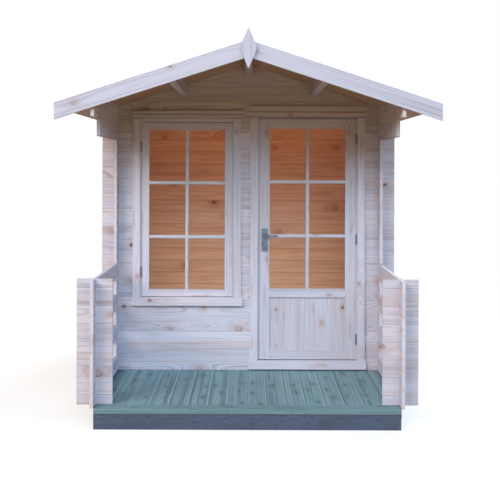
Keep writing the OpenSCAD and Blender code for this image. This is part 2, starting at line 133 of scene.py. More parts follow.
class Field:
    """One output socket of a material's nodes; arithmetic on it adds Math nodes.

    A comparison gives 1 where it holds and 0 elsewhere.
    """

    __add__ = __radd__ = math_method("ADD")
    __sub__ = math_method("SUBTRACT")
    __rsub__ = math_method("SUBTRACT", swapped=True)
    __mul__ = __rmul__ = math_method("MULTIPLY")
    __truediv__ = math_method("DIVIDE")
    __rtruediv__ = math_method("DIVIDE", swapped=True)
    __gt__ = math_method("GREATER_THAN")
    __lt__ = math_method("LESS_THAN")
    __abs__ = math_method("ABSOLUTE")
    floor = math_method("FLOOR")
    fraction = math_method("FRACT")
    root = math_method("SQRT")
    most = math_method("MAXIMUM")

    def __init__(self, sheet: "Sheet", socket: bpy.types.NodeSocket) -> None:
        """Keeps the socket and the sheet that it lies on."""
        self.sheet = sheet
        self.socket = socket

    def ramp(self, low: "Value", high: "Value") -> "Field":
        """Returns a smooth step from 0 at low to 1 at high; low may lie above high."""
        inputs = {"Value": self, "From Min": low, "From Max": high}
        return self.sheet.node("ShaderNodeMapRange", {"interpolation_type": "SMOOTHSTEP"}, inputs)

    def bell(self, width: "Value") -> "Field":
        """Returns a bell curve of this value: exp(-(value / width) squared)."""
        share = self / width
        return self.sheet.math("EXPONENT", share * share * -1.0)


Value = Field | float


class Sheet:
    """Node sheet of one material or world: it makes nodes, links them and ends in a surface."""

    def __init__(self, owner: bpy.types.Material | bpy.types.World) -> None:
        """Empties the sheet of its owner.

        Args:
            owner: the material or world.
        """
        owner.use_nodes = True
        self.owner = owner
        self.tree = owner.node_tree
        self.tree.nodes.clear()

    @classmethod
    def blank(cls, name: str) -> "Sheet":
        """Returns the empty sheet of a new material."""
        return cls(bpy.data.materials.new(name))

    def add(
        self, kind: str, settings: Mapping[str, object], inputs: Mapping[str | int, object]
    ) -> bpy.types.Node:
        """Makes any node.

        Args:
            kind: type name of the node.
            settings: properties of the node, set first.
            inputs: a value or a Field for each socket, by name or number.

        Returns:
            The node.
        """
        made = self.tree.nodes.new(kind)
        for key, value in settings.items():
            setattr(made, key, value)
        for key, value in inputs.items():
            socket = made.inputs[key]
            if isinstance(value, Field):
                self.tree.links.new(value.socket, socket)
            elif socket.type == "RGBA":
                socket.default_value = (*value, 1.0)
            else:
                socket.default_value = value
        return made

    def node(
        self, kind: str, settings: Mapping[str, object], inputs: Mapping[str | int, object],
        output: str | int = 0,
    ) -> Field:
        """Makes any node and returns one of its outputs, by name or number."""
        return Field(self, self.add(kind, settings, inputs).outputs[output])

    def math(self, operation: str, first: Value, second: Value = 0.0) -> Field:
        """Returns one Math node's result on two values."""
        return self.node("ShaderNodeMath", {"operation": operation}, {0: first, 1: second})

    def place(self) -> list[Field]:
        """Returns the three Object coordinates of the surface."""
        point = self.node("ShaderNodeTexCoord", {}, {}, "Object")
        return [self.node("ShaderNodeSeparateXYZ", {}, {0: point}, axis.value) for axis in Axis]

    def facing(self, axis: Axis) -> Field:
        """Returns 1 where the surface looks along an axis, and 0 where it lies along it."""
        normal = self.node("ShaderNodeTexCoord", {}, {}, "Normal")
        return abs(self.node("ShaderNodeSeparateXYZ", {}, {0: normal}, axis.value)) > 0.7

    def ray(self, kind: str) -> Field:
        """Returns 1 for one kind of light ray, and 0 for all others."""
        return self.node("ShaderNodeLightPath", {}, {}, f"Is {kind} Ray")

    def vector(self, x: Value, y: Value, z: Value) -> Field:
        """Returns three values as one vector."""
        return self.node("ShaderNodeCombineXYZ", {}, {0: x, 1: y, 2: z})

    def noise(self, x: Value, y: Value, z: Value, detail: float = 2.0) -> Field:
        """Returns smooth noise from 0 to 1 whose waves are about one unit long."""
        inputs = {"Vector": self.vector(x, y, z), "Scale": 1.0, "Detail": detail, "Roughness": 0.55}
        return self.node("ShaderNodeTexNoise", {"noise_dimensions": "3D"}, inputs)

    def chance(self, x: Value, y: Value, z: Value) -> list[Field]:
        """Draws three random numbers from 0 to 1 that keep to one set of values.

        Args:
            x: first value of the set.
            y: second value.
            z: third value.

        Returns:
            The three numbers.
        """
        inputs = {"Vector": self.vector(x, y, z)}
        colour = self.node("ShaderNodeTexWhiteNoise", {"noise_dimensions": "3D"}, inputs, "Color")
        return [self.node("ShaderNodeSeparateColor", {}, {0: colour}, band) for band in range(3)]

    def blend(self, share: Value, first: "Tint", second: "Tint", mode: str = "MIX") -> Field:
        """Returns a Mix node's colour.

        Args:
            share: 0 gives the first colour, 1 the second.
            first: a colour or a Field.
            second: a colour or a Field.
            mode: the way of blending.

        Returns:
            The mixed colour.
        """
        settings = {"data_type": "RGBA", "blend_type": mode}
        return self.node("ShaderNodeMix", settings, {0: share, 6: first, 7: second}, 2)

    def shaded(self, colour: "Tint", factor: Value) -> Field:
        """Returns a colour times a factor."""
        return self.blend(1.0, colour, self.vector(factor, factor, factor), "MULTIPLY")

    def either(self, share: Value, first: Field, second: Field) -> Field:
        """Returns a mix of two shaders: 0 gives the first, 1 the second."""
        return self.node("ShaderNodeMixShader", {}, {0: share, 1: first, 2: second})

    def shader(self, inputs: Mapping[str, object], height: Field | None = None, relief: float = 0.0) -> Field:
        """Makes a Principled surface.

        Args:
            inputs: a value or a Field for each socket by name.
            height: relief from 0 to 1 for the bump, if any.
            relief: depth of that bump in metres.

        Returns:
            The shader.
        """
        sockets = dict(inputs)
        if height is not None:
            bump = {"Strength": 1.0, "Distance": relief, "Height": height}
            sockets["Normal"] = self.node("ShaderNodeBump", {}, bump)
        return self.node("ShaderNodeBsdfPrincipled", {}, sockets)

    def finish(
        self, shader: Field, end: str = "ShaderNodeOutputMaterial"
    ) -> bpy.types.Material | bpy.types.World:
        """Ends the sheet in a shader and returns its owner."""
        self.add(end, {}, {"Surface": shader})
        return self.owner


Tint = Field | Colour


@dataclass(frozen=True)
class Grain:
    """Where a point lies in its board.

    Attributes:
        along: distance along the grain.
        across: distance from the board's middle line.
        through: distance through its thickness.
        board: a number that tells the board from all others.
        end: 1 on the board's ends.
        seam: 1 in the painted shade of the joint under a board that lies on others.
    """

    along: Field
    across: Field
    through: Field
    board: Field
    end: Value = 0.0
    seam: Value = 0.0


@dataclass(frozen=True)
class StackLay:
    """Boards or logs of one width that lie side by side.

    Attributes:
        run: the way of the grain.
        stack: the way in which they follow each other.
        pitch: width of one board.
        base: edge of board 0.
        middle: middle of their thickness, on the third axis.
        mirrored: whether both sides of the third axis hold such a stack.
    """

    run: Axis
    stack: Axis
    pitch: float
    base: float
    middle: float = 0.0
    mirrored: bool = False

    def grain(self, sheet: Sheet, place: list[Field]) -> Grain:
        """Finds the grain of a point.

        Args:
            sheet: the material's node sheet.
            place: the coordinates of the point.

        Returns:
            The grain.
        """
        depth = next(axis for axis in Axis if axis not in (self.run, self.stack))
        step = (place[self.stack.value] - self.base) / self.pitch
        board = step.floor()
        through = place[depth.value]
        number = board
        if self.mirrored:
            number = board + (through > 0.0) * 40.0
            through = abs(through)
        across = (step - board - 0.5) * self.pitch
        return Grain(place[self.run.value], across, through - self.middle, number, sheet.facing(self.run))


@dataclass(frozen=True)
class JoineryLay:
    """Upright and level members of a frame, each with the grain along it.

    Attributes:
        centre: middle of the frame in X.
        inner: half the width between the uprights.
        low: foot of the uprights.
        high: head of the uprights.
        middle: middle of the frame's thickness in Y.
        width: width of a member.
        seams: heights of the joints between level members.
        seam_width: half the width of the painted shade in such a joint.
        central: whether the one upright stands in the middle, between level members.
    """

    centre: float
    inner: float
    low: float
    high: float
    middle: float
    width: float = 0.075
    seams: tuple[float, ...] = ()
    seam_width: float = 0.0045
    central: bool = False

    def grain(self, sheet: Sheet, place: list[Field]) -> Grain:
        """Finds the grain of a point.

        Args:
            sheet: the material's node sheet; not used.
            place: the coordinates of the point.

        Returns:
            The grain.
        """
        x, y, z = place
        offset = x - self.centre
        beside = abs(offset) > self.inner
        upright_across = abs(offset) - self.inner - self.width / 2
        if self.central:
            beside, upright_across = 1.0 - beside, offset
        upright = beside * (z > self.low) * (z < self.high)
        level_board = (z / self.width).floor()
        level_across = z - (level_board + 0.5) * self.width
        along = x + (z - x) * upright
        across = level_across + (upright_across - level_across) * upright
        side = (offset > 0.0) * 9.0 + 50.0
        board = level_board + (side - level_board) * upright
        # Painted shade: a line at each given height, under the board that casts a shadow there.
        seam = sum(((z - height).bell(self.seam_width) for height in self.seams), 0.0)
        return Grain(along, across, y - self.middle, board, seam=seam)


@dataclass(frozen=True)
class SlopeLay:
    """Boards that lie on the roof's slope, or along its edge.

    Attributes:
        pitch: angle of the roof.
        ridge: height of the line in which the two slopes meet.
        width: width of a board that runs down the slope, or nothing for a board along the roof's edge.
        middle: distance of such an edge board from the frame's middle.
    """

    pitch: float
    ridge: float
    width: float | None = None
    middle: float = 0.0

    def grain(self, sheet: Sheet, place: list[Field]) -> Grain:
        """Finds the grain of a point: down the slope, square to it, and along the ridge.

        Args:
            sheet: the material's node sheet; not used.
            place: the coordinates of the point.

        Returns:
            The grain.
        """
        x, y, z = place
        drop = z - self.ridge
        out = abs(x)
        along = out * math.cos(self.pitch) - drop * math.sin(self.pitch)
        square = out * math.sin(self.pitch) + drop * math.cos(self.pitch)
        side = (x > 0.0) * 70.0
        if self.width is None:
            return Grain(along, square, abs(y) - self.middle, side + (y > 0.0) * 31.0)
        step = y / self.width
        board = step.floor()
        return Grain(along, (step - board - 0.5) * self.width, square, board + side)


Lay = StackLay | JoineryLay | SlopeLay


@dataclass(frozen=True)
class Tone:
    """Colours of one timber finish: ground, warm blush, grain, a knot's halo and the knot."""

    pale: Colour
    blush: Colour
    streak: Colour
    halo: Colour
    knot: Colour

    @classmethod
    def shown(cls, **colours: tuple[int, int, int]) -> "Tone":
        """Returns the tone whose colours are given in display values from 0 to 255."""
        return cls(**{name: srgb(*values) for name, values in colours.items()})


@dataclass(frozen=True)
class Room:
    """The room inside the log walls, up to the middle of each wall."""

    half: float
    front: float
    back: float

    def mask(self, place: list[Field]) -> Field:
        """Returns 1 inside the room and 0 outside it."""
        x, y, _ = place
        return (abs(x) < self.half) * (y > self.front) * (y < self.back)


@dataclass(frozen=True)
class Board:
    """A board on a node sheet.

    Attributes:
        sheet: the node sheet.
        grain: where a point lies in the board.
        own: three random numbers of the board.
        seed: number of the finish.
        width: width of the board.
    """

    sheet: Sheet
    grain: Grain
    own: list[Field]
    seed: float
    width: float


@dataclass(frozen=True)
class Knot:
    """Shares of a point in the knots of its board.

    Attributes:
        halo: the darker wood round a knot.
        heart: the wood inside it.
        rim: the dark ring round its heart.
        core: the dead wood in the middle of some knots.
        swell: distance by which it pushes the growth rings aside.
    """

    halo: Field
    heart: Field
    rim: Field
    core: Field
    swell: Field


@dataclass(frozen=True)
class Figure:
    """Shares of a point in the pattern of its board.

    Attributes:
        cloud: slow changes of the ground.
        blot: blots of resin under the finish.
        bands: broad bands of the grain.
        lines: dark late wood of each growth ring.
        knot: the knots.
    """

    cloud: Field
    blot: Field
    bands: Field
    lines: Field
    knot: Knot


@dataclass(frozen=True)
class Timber:
    """Planed softwood under a thin finish.

    The growth rings are the distance from a heart that runs along the board off its face, so flat faces
    show long arches and ends show arcs. A slow wave bends the rings along the board, and each knot swells
    them by a bell curve, which draws the eyes round it. Within a ring the wood darkens towards the late
    wood, and then starts pale again. Noise stretched along the grain shades the rings. In the methods, a
    factor on a distance is the number of waves in a metre, and a factor on a board's own number only tells
    one board from the next.

    Attributes:
        name: name of the finish.
        tone: its colours.
        indoors: its colours inside the room, where they differ.
        ring: distance between two growth rings.
        wander: how far the rings wander along the board.
        depth: how strongly the grain shows, from 0 to 1.
        knot_every: length of board in which one knot may lie.
        knot_size: radius of the largest knot.
        knot_share: share of those lengths that hold a knot.
        knot_long: length of a knot along the board, as a multiple of its width.
        swirl: how far a knot pushes the growth rings aside, as a share of its radius.
        roughness: roughness of the finish.
        relief: depth of the grain's relief.
        stretch: how fast the grain changes along the board.
        fuzz: how strongly short marks of the saw show, from 0 to 1.
        hearts: share of the knots that have a dark heart.
        dead: colour of the dead wood in such a heart, where it differs from the knot.
        edge: colour of the painted highlight along a board's long edges, where it shows.
        edge_width: width of that highlight.
        one_sided: whether only one long edge of a board gets the painted highlight, and the other one painted
            shade.
        joint: width of the dark line along a board's edges inside the room.
        smear: share of the resin blots that shows.
        eaves: heights between which the colour turns darker and warmer, as painted shade under the porch
            roof.
        level: brightness of the whole.
    """

    name: str
    tone: Tone
    indoors: Tone | None = None
    ring: float = 0.012
    wander: float = 0.03
    depth: float = 0.6
    knot_every: float = 0.62
    knot_size: float = 0.026
    knot_share: float = 0.5
    knot_long: float = 1.4
    swirl: float = 1.6
    roughness: float = 0.62
    relief: float = 0.0005
    stretch: float = 2.2
    fuzz: float = 0.0
    hearts: float = 0.3
    dead: Colour | None = None
    edge: Colour | None = None
    edge_width: float = 0.004
    one_sided: bool = False
    joint: float = 0.005
    smear: float = 0.35
    eaves: tuple[float, float] | None = None
    level: float = 1.0

    def dress(self, name: str, lay: Lay, width: float, room: Room) -> bpy.types.Material:
        """Makes the finish for boards that lie in one way.

        Args:
            name: name of the pieces.
            lay: how the boards lie.
            width: width of one board.
            room: the room, for a finish that differs inside it.

        Returns:
            The material.
        """
        sheet = Sheet.blank(f"{self.name}_{name}")
        place = sheet.place()
        grain = lay.grain(sheet, place)
        seed = float(sum(name.encode()) % 97)
        board = Board(sheet, grain, sheet.chance(grain.board, seed, 0.5), seed, width)
        figure = self.figure(board)
        colour = self.outside(board, figure, place, room)
        if self.indoors is not None:
            joint = abs(grain.across).ramp(width / 2 - self.joint, width / 2) * 0.6
            inner = sheet.blend(joint, self.colour(sheet, self.indoors, figure), self.indoors.streak)
            colour = sheet.blend(room.mask(place), colour, inner)
        shade = (0.93 + board.own[1] * 0.12) * self.level
        colour = sheet.shaded(colour, shade)
        rough = self.roughness + figure.bands * 0.1 - figure.knot.heart * 0.12
        height = 1.0 - figure.lines * 0.7 - figure.bands * 0.3
        inputs = {"Base Color": colour, "Roughness": rough}
        return sheet.finish(sheet.shader(inputs, height, self.relief))

    def outside(self, board: Board, figure: Figure, place: list[Field], room: Room) -> Field:
        """Colours the wood outside the room, with a painted highlight and painted shade at the long edges,
        painted shade in joints under cap and head boards, and under the eaves.

        Args:
            board: the board.
            figure: its pattern.
            place: the coordinates of a point.
            room: the room.

        Returns:
            The colour.
        """
        sheet, grain = board.sheet, board.grain
        colour = self.colour(sheet, self.tone, figure)
        # Painted highlight along a board's long edge, where a real arris would catch the light; with
        # one_sided, painted shade along the other edge.
        if self.edge is not None:
            reach = grain.across if self.one_sided else abs(grain.across)
            rim = board.width / 2
            edge_highlight = reach.ramp(rim - self.edge_width, rim - self.edge_width * 0.3)
            colour = sheet.blend(edge_highlight * (0.65 + figure.cloud * 0.35), colour, self.edge)
            if self.one_sided:
                shaded = (grain.across * -1.0).ramp(rim - self.edge_width, rim)
                colour = sheet.blend(shaded * 0.7, colour, self.tone.streak)
        # Painted shade: a dark line in each joint under a cap or head board, where that board's shadow falls.
        if isinstance(grain.seam, Field):
            colour = sheet.blend(grain.seam * 0.75, colour, self.tone.knot)
        # Painted shade: the colour turns darker and warmer towards the top of the wall under the porch roof.
        if self.eaves is not None:
            eaves_shade = place[2].ramp(*self.eaves) * (place[1] < room.front)
            colour = sheet.blend(eaves_shade, colour, EAVES_SHADE_TINT, "MULTIPLY")
        return colour

    def figure(self, board: Board) -> Figure:
        """Draws the pattern of a board.

        Args:
            board: the board.

        Returns:
            The pattern.
        """
        sheet, grain, own = board.sheet, board.grain, board.own
        along, across, number = grain.along, grain.across, grain.board
        knot = self.knots(board)
        slow = self.stretch * 0.4
        wave = sheet.noise(along * slow + own[1] * 30.0, across * 3.0, number, 1.0)
        heart = across - (own[1] - 0.5) * board.width * 0.8
        deep = grain.through + own[2] * 0.05 + 0.02
        rings = (heart * heart + deep * deep).root() + (wave - 0.5) * self.wander + knot.swell
        streak = sheet.noise(along * self.stretch, rings / (self.ring * 0.7), number * 2.7 + own[2] * 9.0)
        phase = (rings / self.ring + streak * 0.7).fraction()
        broad = sheet.noise(along * slow + own[0] * 40.0, rings / (self.ring * 2.0), number * 5.3)
        cloud = sheet.noise(along * 1.3 + own[2] * 20.0, across * 14.0, number * 3.1)
        blot = sheet.noise(along * 4.0, across * 22.0, number * 7.7 + own[0] * 5.0)
        plain = 1.0 - grain.end * 0.75
        late = phase.ramp(0.25, 0.92) * phase.ramp(1.0, 0.94)
        lines = late * streak.ramp(0.30, 0.75) * plain
        if self.fuzz > 0.0:
            sawn = sheet.noise(along * 20.0, (across + grain.through) * 95.0, number * 1.7)
            lines = lines.most(sawn.ramp(0.45, 0.72) * self.fuzz)
        bands = broad.ramp(0.48, 0.74) * plain
        return Figure(cloud.ramp(0.42, 0.72), blot.ramp(0.60, 0.78), bands, lines, knot)

    def knots(self, board: Board) -> Knot:
        """Places the knots of a board: at most one in each length of it, with a random place and size.

        Args:
            board: the board.

        Returns:
            The shares of a point in them.
        """
        sheet, grain = board.sheet, board.grain
        cell = grain.along / self.knot_every + board.own[0] * 9.0
        number = cell.floor()
        pick = sheet.chance(grain.board, number, board.seed)
        ahead = (cell - number - 0.5 - (pick[0] - 0.5) * 0.5) * self.knot_every
        beside = grain.across - (pick[1] - 0.5) * board.width * 0.6
        chosen = (pick[2] - (1.0 - self.knot_share)).most(0.0) / self.knot_share
        size = (chosen > 0.0) * (0.5 + chosen * 0.5) * self.knot_size + 0.00001
        ragged = sheet.noise(ahead * 70.0, beside * 110.0, grain.board * 3.3)
        drawn = ahead / self.knot_long
        reach = (drawn * drawn + beside * beside).root() * (0.7 + ragged * 0.6)
        heart = reach.ramp(size, size * 0.6)
        turn = (ahead / size * 0.6 + beside / size * (pick[1] * 2.0 - 1.0)).ramp(-0.5, 0.9)
        rim = (reach - size * 0.78).bell(size * 0.16) * turn * (0.3 + ragged * 0.7)
        year = (reach / size * 2.6 + ragged * 0.8).fraction().ramp(0.45, 1.0) * heart * 0.35
        core = reach.ramp(size * 0.6, size * 0.2) * (pick[1] > 1.0 - self.hearts) * 0.95
        swell = ahead.bell(0.14) * beside.bell(0.036) * size * self.swirl
        return Knot(reach.ramp(size * 2.8, size * 0.8), heart, rim.most(year).most(core), core, swell)

    def colour(self, sheet: Sheet, tone: Tone, figure: Figure) -> Field:
        """Colours the pattern with one set of tones, layer by layer.

        Args:
            sheet: the material's node sheet.
            tone: the set of colours.
            figure: the pattern.

        Returns:
            The colour.
        """
        layers = [
            (figure.cloud * 0.7, tone.blush),
            (figure.blot * self.smear, tone.halo),
            (figure.bands * (self.depth * 0.5), tone.streak),
            (figure.lines * self.depth, tone.streak),
            (figure.knot.halo * 0.35, tone.halo),
            (figure.knot.heart * 0.45, tone.halo),
            (figure.knot.rim * 0.8, tone.knot),
        ]
        if self.dead is not None:
            layers.append((figure.knot.core * 0.8, self.dead))
        ground: Tint = tone.pale
        for share, tint in layers:
            ground = sheet.blend(share, ground, tint)
        return ground


@dataclass(frozen=True)
class Metal:
    """Satin metal with faint brushed streaks and dull patches."""

    name: str
    colour: Colour
    dull: Colour
    roughness: float
    metallic: float

    def dress(self) -> bpy.types.Material:
        """Makes the finish.

        Returns:
            The material.
        """
        sheet = Sheet.blank(self.name)
        x, y, z = sheet.place()
        brushed = sheet.noise(x * 900.0, y * 900.0, z * 60.0)
        patch = sheet.noise(x * 45.0, y * 45.0, z * 45.0, 3.0)
        colour = sheet.blend(patch.ramp(0.4, 0.75), self.colour, self.dull)
        rough = self.roughness + (patch - 0.5) * 0.2 + (brushed - 0.5) * 0.1
        inputs = {"Base Color": colour, "Roughness": rough, "Metallic": self.metallic}
        return sheet.finish(sheet.shader(inputs, brushed, 0.00004))


@dataclass(frozen=True)
class Felt:
    """Bituminous roofing felt with mineral granules pressed into it."""

    name: str
    dark: Colour
    light: Colour

    def dress(self) -> bpy.types.Material:
        """Makes the finish: specks of two sizes over slow stains that run down the slope.

        Returns:
            The material.
        """
        sheet = Sheet.blank(self.name)
        x, y, z = sheet.place()
        specks = sheet.noise(x * 420.0, y * 420.0, z * 420.0, 3.0)
        coarse = sheet.noise(x * 110.0, y * 110.0, z * 110.0)
        stain = sheet.noise(x * 1.6, y * 7.0, z * 1.6, 3.0)
        share = specks.ramp(0.42, 0.66) * 0.75 + coarse * 0.2
        colour = sheet.blend(share, self.dark, self.light)
        colour = sheet.shaded(colour, 0.78 + stain * 0.44)
        return sheet.finish(sheet.shader({"Base Color": colour, "Roughness": 0.92}, specks, 0.0009))


@dataclass(frozen=True)
class Glass:
    """Clear window glass that lets light and shadow rays straight through."""

    name: str
    tint: Colour
    density: float = 1.2

    def dress(self) -> bpy.types.Material:
        """Makes the finish: clear glass for what is seen, and none for the light that enters the room.

        Returns:
            The material.
        """
        sheet = Sheet.blank(self.name)
        clarity = {"Roughness": 0.0, "IOR": self.density, "Transmission Weight": 1.0}
        glass = sheet.shader({"Base Color": self.tint, **clarity})
        clear = sheet.node("ShaderNodeBsdfTransparent", {}, {"Color": self.tint})
        through = sheet.ray("Shadow").most(sheet.ray("Diffuse"))
        return sheet.finish(sheet.either(through, glass, clear))


@dataclass
class Solid:
    """A surface.

    Attributes:
        points: its points.
        blocks: its faces as numbers of points, in blocks of faces with the same number of corners.
    """

    points: np.ndarray
    blocks: list[np.ndarray]

    @staticmethod
    def joined(parts: Sequence["Solid"]) -> "Solid":
        """Joins several surfaces.

        Args:
            parts: the surfaces.

        Returns:
            One surface.
        """
        starts = np.cumsum([0] + [len(part.points) for part in parts[:-1]])
        blocks = [block + start for start, part in zip(starts, parts) for block in part.blocks]
        return Solid(np.concatenate([part.points for part in parts]), blocks)

    def mesh(self, name: str) -> bpy.types.Mesh:
        """Returns the surface as a new mesh.

        Args:
            name: name of the mesh.

        Returns:
            The mesh.
        """
        faces = [face for block in self.blocks for face in block.tolist()]
        made = bpy.data.meshes.new(name)
        made.from_pydata(self.points.tolist(), [], faces)
        return made


def points(x: Floats, y: Floats, z: Floats) -> np.ndarray:
    """Returns points as rows (x, y, z); a single number holds for all of them."""
    return np.stack(np.broadcast_arrays(x, y, z), axis=-1).reshape(-1, 3).astype(float)


def grid_faces(shape: tuple[int, int]) -> list[np.ndarray]:
    """Joins the neighbouring points of a grid by quads.

    Args:
        shape: number of the grid's rows and columns.

    Returns:
        One block of quads.
    """
    index = np.arange(math.prod(shape)).reshape(shape)
    quads = np.stack([index[:-1, :-1], index[1:, :-1], index[1:, 1:], index[:-1, 1:]], axis=-1)
    return [quads.reshape(-1, 4)]


def tube_faces(count: int, rows: int, size: int) -> list[np.ndarray]:
    """Returns the faces of equal tubes: quads between their outlines, and one face over each end.

    Args:
        count: number of tubes.
        rows: number of outlines in a tube.
        size: number of points in an outline.

    Returns:
        A block of quads, and two blocks of ends.
    """
    index = np.arange(count * rows * size).reshape(count, rows, size)
    after = np.roll(index, -1, axis=2)
    quads = np.stack([index[:, :-1], after[:, :-1], after[:, 1:], index[:, 1:]], axis=-1)
    return [quads.reshape(-1, 4), index[:, 0, ::-1], index[:, -1]]


def carried(
    profile: np.ndarray, starts: np.ndarray, ends: np.ndarray, right: Sequence[float], up: Sequence[float]
) -> Solid:
    """Carries a closed profile along straight paths.

    Formula: a point is an end of the path, plus right times p, plus up times q, for each profile point
    (p, q). Quads join the outlines at the two ends, and one face closes each end.

    Args:
        profile: points (p, q) of the outline.
        starts: first point of each path.
        ends: last point of each path.
        right: direction of p.
        up: direction of q.

    Returns:
        The surface, with its faces outwards.
    """
    p, q = profile.T
    area = np.sum(p * np.roll(q, -1) - np.roll(p, -1) * q)
    turn = np.cross(right, up) @ (ends[0] - starts[0])
    outline = profile if area * turn > 0 else profile[::-1]
    across = outline[:, :1] * np.asarray(right, float) + outline[:, 1:] * np.asarray(up, float)
    rings = np.stack([starts[:, None] + across, ends[:, None] + across], axis=1)
    return Solid(rings.reshape(-1, 3), tube_faces(len(starts), 2, len(outline)))


def turned(profile: np.ndarray, centres: np.ndarray, axis: Sequence[float], segments: int) -> Solid:
    """Turns a profile round an axis at each of several centres.

    Formula: a point is the centre, plus the axis times h, plus r times (side cos a + other sin a), for each
    profile point (r, h) and each angle a. One face closes each end.

    Args:
        profile: points (r, h) with h rising.
        centres: places of the turned shapes.
        axis: direction of h.
        segments: number of angles.

    Returns:
        The surface, with its faces outwards.
    """
    way = np.asarray(axis, float) / np.linalg.norm(axis)
    side = np.cross(way, [0.31, 0.47, 0.83])
    side = side / np.linalg.norm(side)
    other = np.cross(way, side)
    angles = np.arange(segments) * 2 * math.pi / segments
    circle = np.cos(angles)[:, None] * side + np.sin(angles)[:, None] * other
    shape = profile[:, None, :1] * circle + profile[:, None, 1:] * way
    turns = centres[:, None, None] + shape
    return Solid(turns.reshape(-1, 3), tube_faces(len(centres), len(profile), segments))


def framed(profile: np.ndarray, low: Vector, high: Vector, plane: float, face: Face) -> Solid:
    """Carries a profile round a rectangle in the plane of a wall, with mitred corners.

    Formula: a point is a corner of the rectangle, moved inwards along both sides by p and out of the wall
    by q, for each profile point (p, q).

    Args:
        profile: points (p, q) of the outline.
        low: lowest corner of the rectangle.
        high: highest corner of the rectangle.
        plane: place in Y from which q counts.
        face: the way in which q counts.

    Returns:
        The surface, with its faces outwards.
    """
    corners = np.array([[low.x, low.z], [high.x, low.z], [high.x, high.z], [low.x, high.z]])
    inwards = np.array([[1, 1], [-1, 1], [-1, -1], [1, -1]])
    p, q = profile.T
    x = corners[:, :1] + inwards[:, :1] * p
    z = corners[:, 1:] + inwards[:, 1:] * p
    size = len(profile)
    index = np.arange(4 * size).reshape(4, size)
    along = np.roll(index, -1, axis=0)
    after = np.roll(index, -1, axis=1)
    both = np.roll(along, -1, axis=1)
    quads = np.stack([index, along, both, after], axis=-1).reshape(-1, 4)
    area = np.sum(p * np.roll(q, -1) - np.roll(p, -1) * q)
    if area * face.value > 0:
        quads = quads[:, ::-1]
    return Solid(points(x, plane + face.value * q, z), [quads])


def draped(path: np.ndarray, stations: np.ndarray, ripple: float) -> Solid:
    """Lays a sheet along a path in X and Z, drawn out along Y.

    Formula: a point is (x, y, z + ripple times two crossed sine waves), for each path point (x, z) and each
    station y; the waves fade towards the path's ends.

    Args:
        path: points (x, z) of the path.
        stations: places along Y.
        ripple: height of the waves.

    Returns:
        An open sheet whose thickness a modifier gives.
    """
    share = np.linspace(0, 1, len(path))
    fade = np.sin(math.pi * share) ** 0.5
    x = np.broadcast_to(path[:, :1], (len(path), len(stations)))
    y = np.broadcast_to(stations, x.shape)
    wave = np.sin(y * 9.1 + x * 5.0) * np.sin(y * 3.7 - x * 11.0) + 0.5 * np.sin(y * 23.0 + x * 7.0)
    z = path[:, 1:] + ripple * fade[:, None] * wave
    return Solid(points(x, y, z), grid_faces(x.shape))


def lofted(
    centres: np.ndarray, widths: np.ndarray, heights: np.ndarray,
    right: Sequence[float], up: Sequence[float], segments: int, squareness: float,
) -> Solid:
    """Joins rounded sections along a path.

    Formula: a point is a centre, plus right times width c, plus up times height s, where c and s are the
    signed powers of cos a and sin a by the squareness: 1 gives an ellipse, less a rounded rectangle.

    Args:
        centres: middle of each section.
        widths: half the width of each section.
        heights: half the height of each section.
        right: direction of the widths.
        up: direction of the heights.
        segments: number of points in a section.
        squareness: the power.

    Returns:
        The surface, with its faces outwards.
    """
    angles = np.arange(segments) * 2 * math.pi / segments
    c = np.sign(np.cos(angles)) * np.abs(np.cos(angles)) ** squareness
    s = np.sign(np.sin(angles)) * np.abs(np.sin(angles)) ** squareness
    side = widths[:, None, None] * c[:, None] * np.asarray(right, float)
    rise = heights[:, None, None] * s[:, None] * np.asarray(up, float)
    sections = centres[:, None] + side + rise
    blocks = tube_faces(1, len(centres), segments)
    if np.cross(right, up) @ (centres[-1] - centres[0]) < 0:
        blocks = [block[:, ::-1] for block in blocks]
    return Solid(sections.reshape(-1, 3), blocks)


def rounded_board(width: float, thick: float, top: float, foot: float, steps: int = 3) -> np.ndarray:
    """Returns the section of a board: its top at q 0, with rounded edges above and chamfers below.

    Args:
        width: width of the board.
        thick: thickness of the board.
        top: radius of the upper edges.
        foot: size of the lower chamfers.
        steps: number of faces in a rounded edge.

    Returns:
        Points (p, q) of the outline.
    """
    half = width / 2
    angles = np.linspace(0, math.pi / 2, steps + 1)
    right = np.stack([half - top + top * np.cos(angles), top * np.sin(angles) - top], axis=1)
    left = np.stack([-right[::-1, 0], right[::-1, 1]], axis=1)
    base = [[-half, foot - thick], [foot - half, -thick], [half - foot, -thick], [half, foot - thick]]
    return np.concatenate([right, left, np.array(base)])


class Workshop:
    """Puts new pieces into the scene, on their bodies."""

    def piece(
        self, name: str, solid: Solid, body: str, material: bpy.types.Material,
        stands_for: Sequence[str] = (), smooth: float = 0.0, thickness: float = 0.0,
    ) -> None:
        """Makes one piece.

        Args:
            name: name of the piece.
            solid: its surface.
            body: the body that it rides on.
            material: its finish.
            stands_for: the nodes that it replaces.
            smooth: angle in degrees below which its faces blend.
            thickness: thickness that a sheet gets on its upper side.
        """
        mesh = solid.mesh(name)
        mesh.validate()
        mesh.materials.append(material)
        if smooth > 0.0:
            mesh.polygons.foreach_set("use_smooth", np.ones(len(mesh.polygons), bool))
            mesh.set_sharp_from_angle(angle=math.radians(smooth))
        mesh.update()
        made = bpy.data.objects.new(name, mesh)
        bpy.context.scene.collection.objects.link(made)
        if thickness > 0.0:
            solidify = made.modifiers.new("thickness", "SOLIDIFY")
            solidify.thickness = thickness
            solidify.offset = 1.0
        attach(made, body)
        if stands_for:
            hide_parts(*stands_for)
        log.info("%s on %s: %d faces", name, body, len(mesh.polygons))

    def finish(self, node: str, material: bpy.types.Material) -> None:
        """Gives a node of the part its finish.

        Args:
            node: name of the node.
            material: its finish.
        """
        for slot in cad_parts[node].material_slots:
            slot.material = material
        log.info("%s finished as %s", node, material.name)


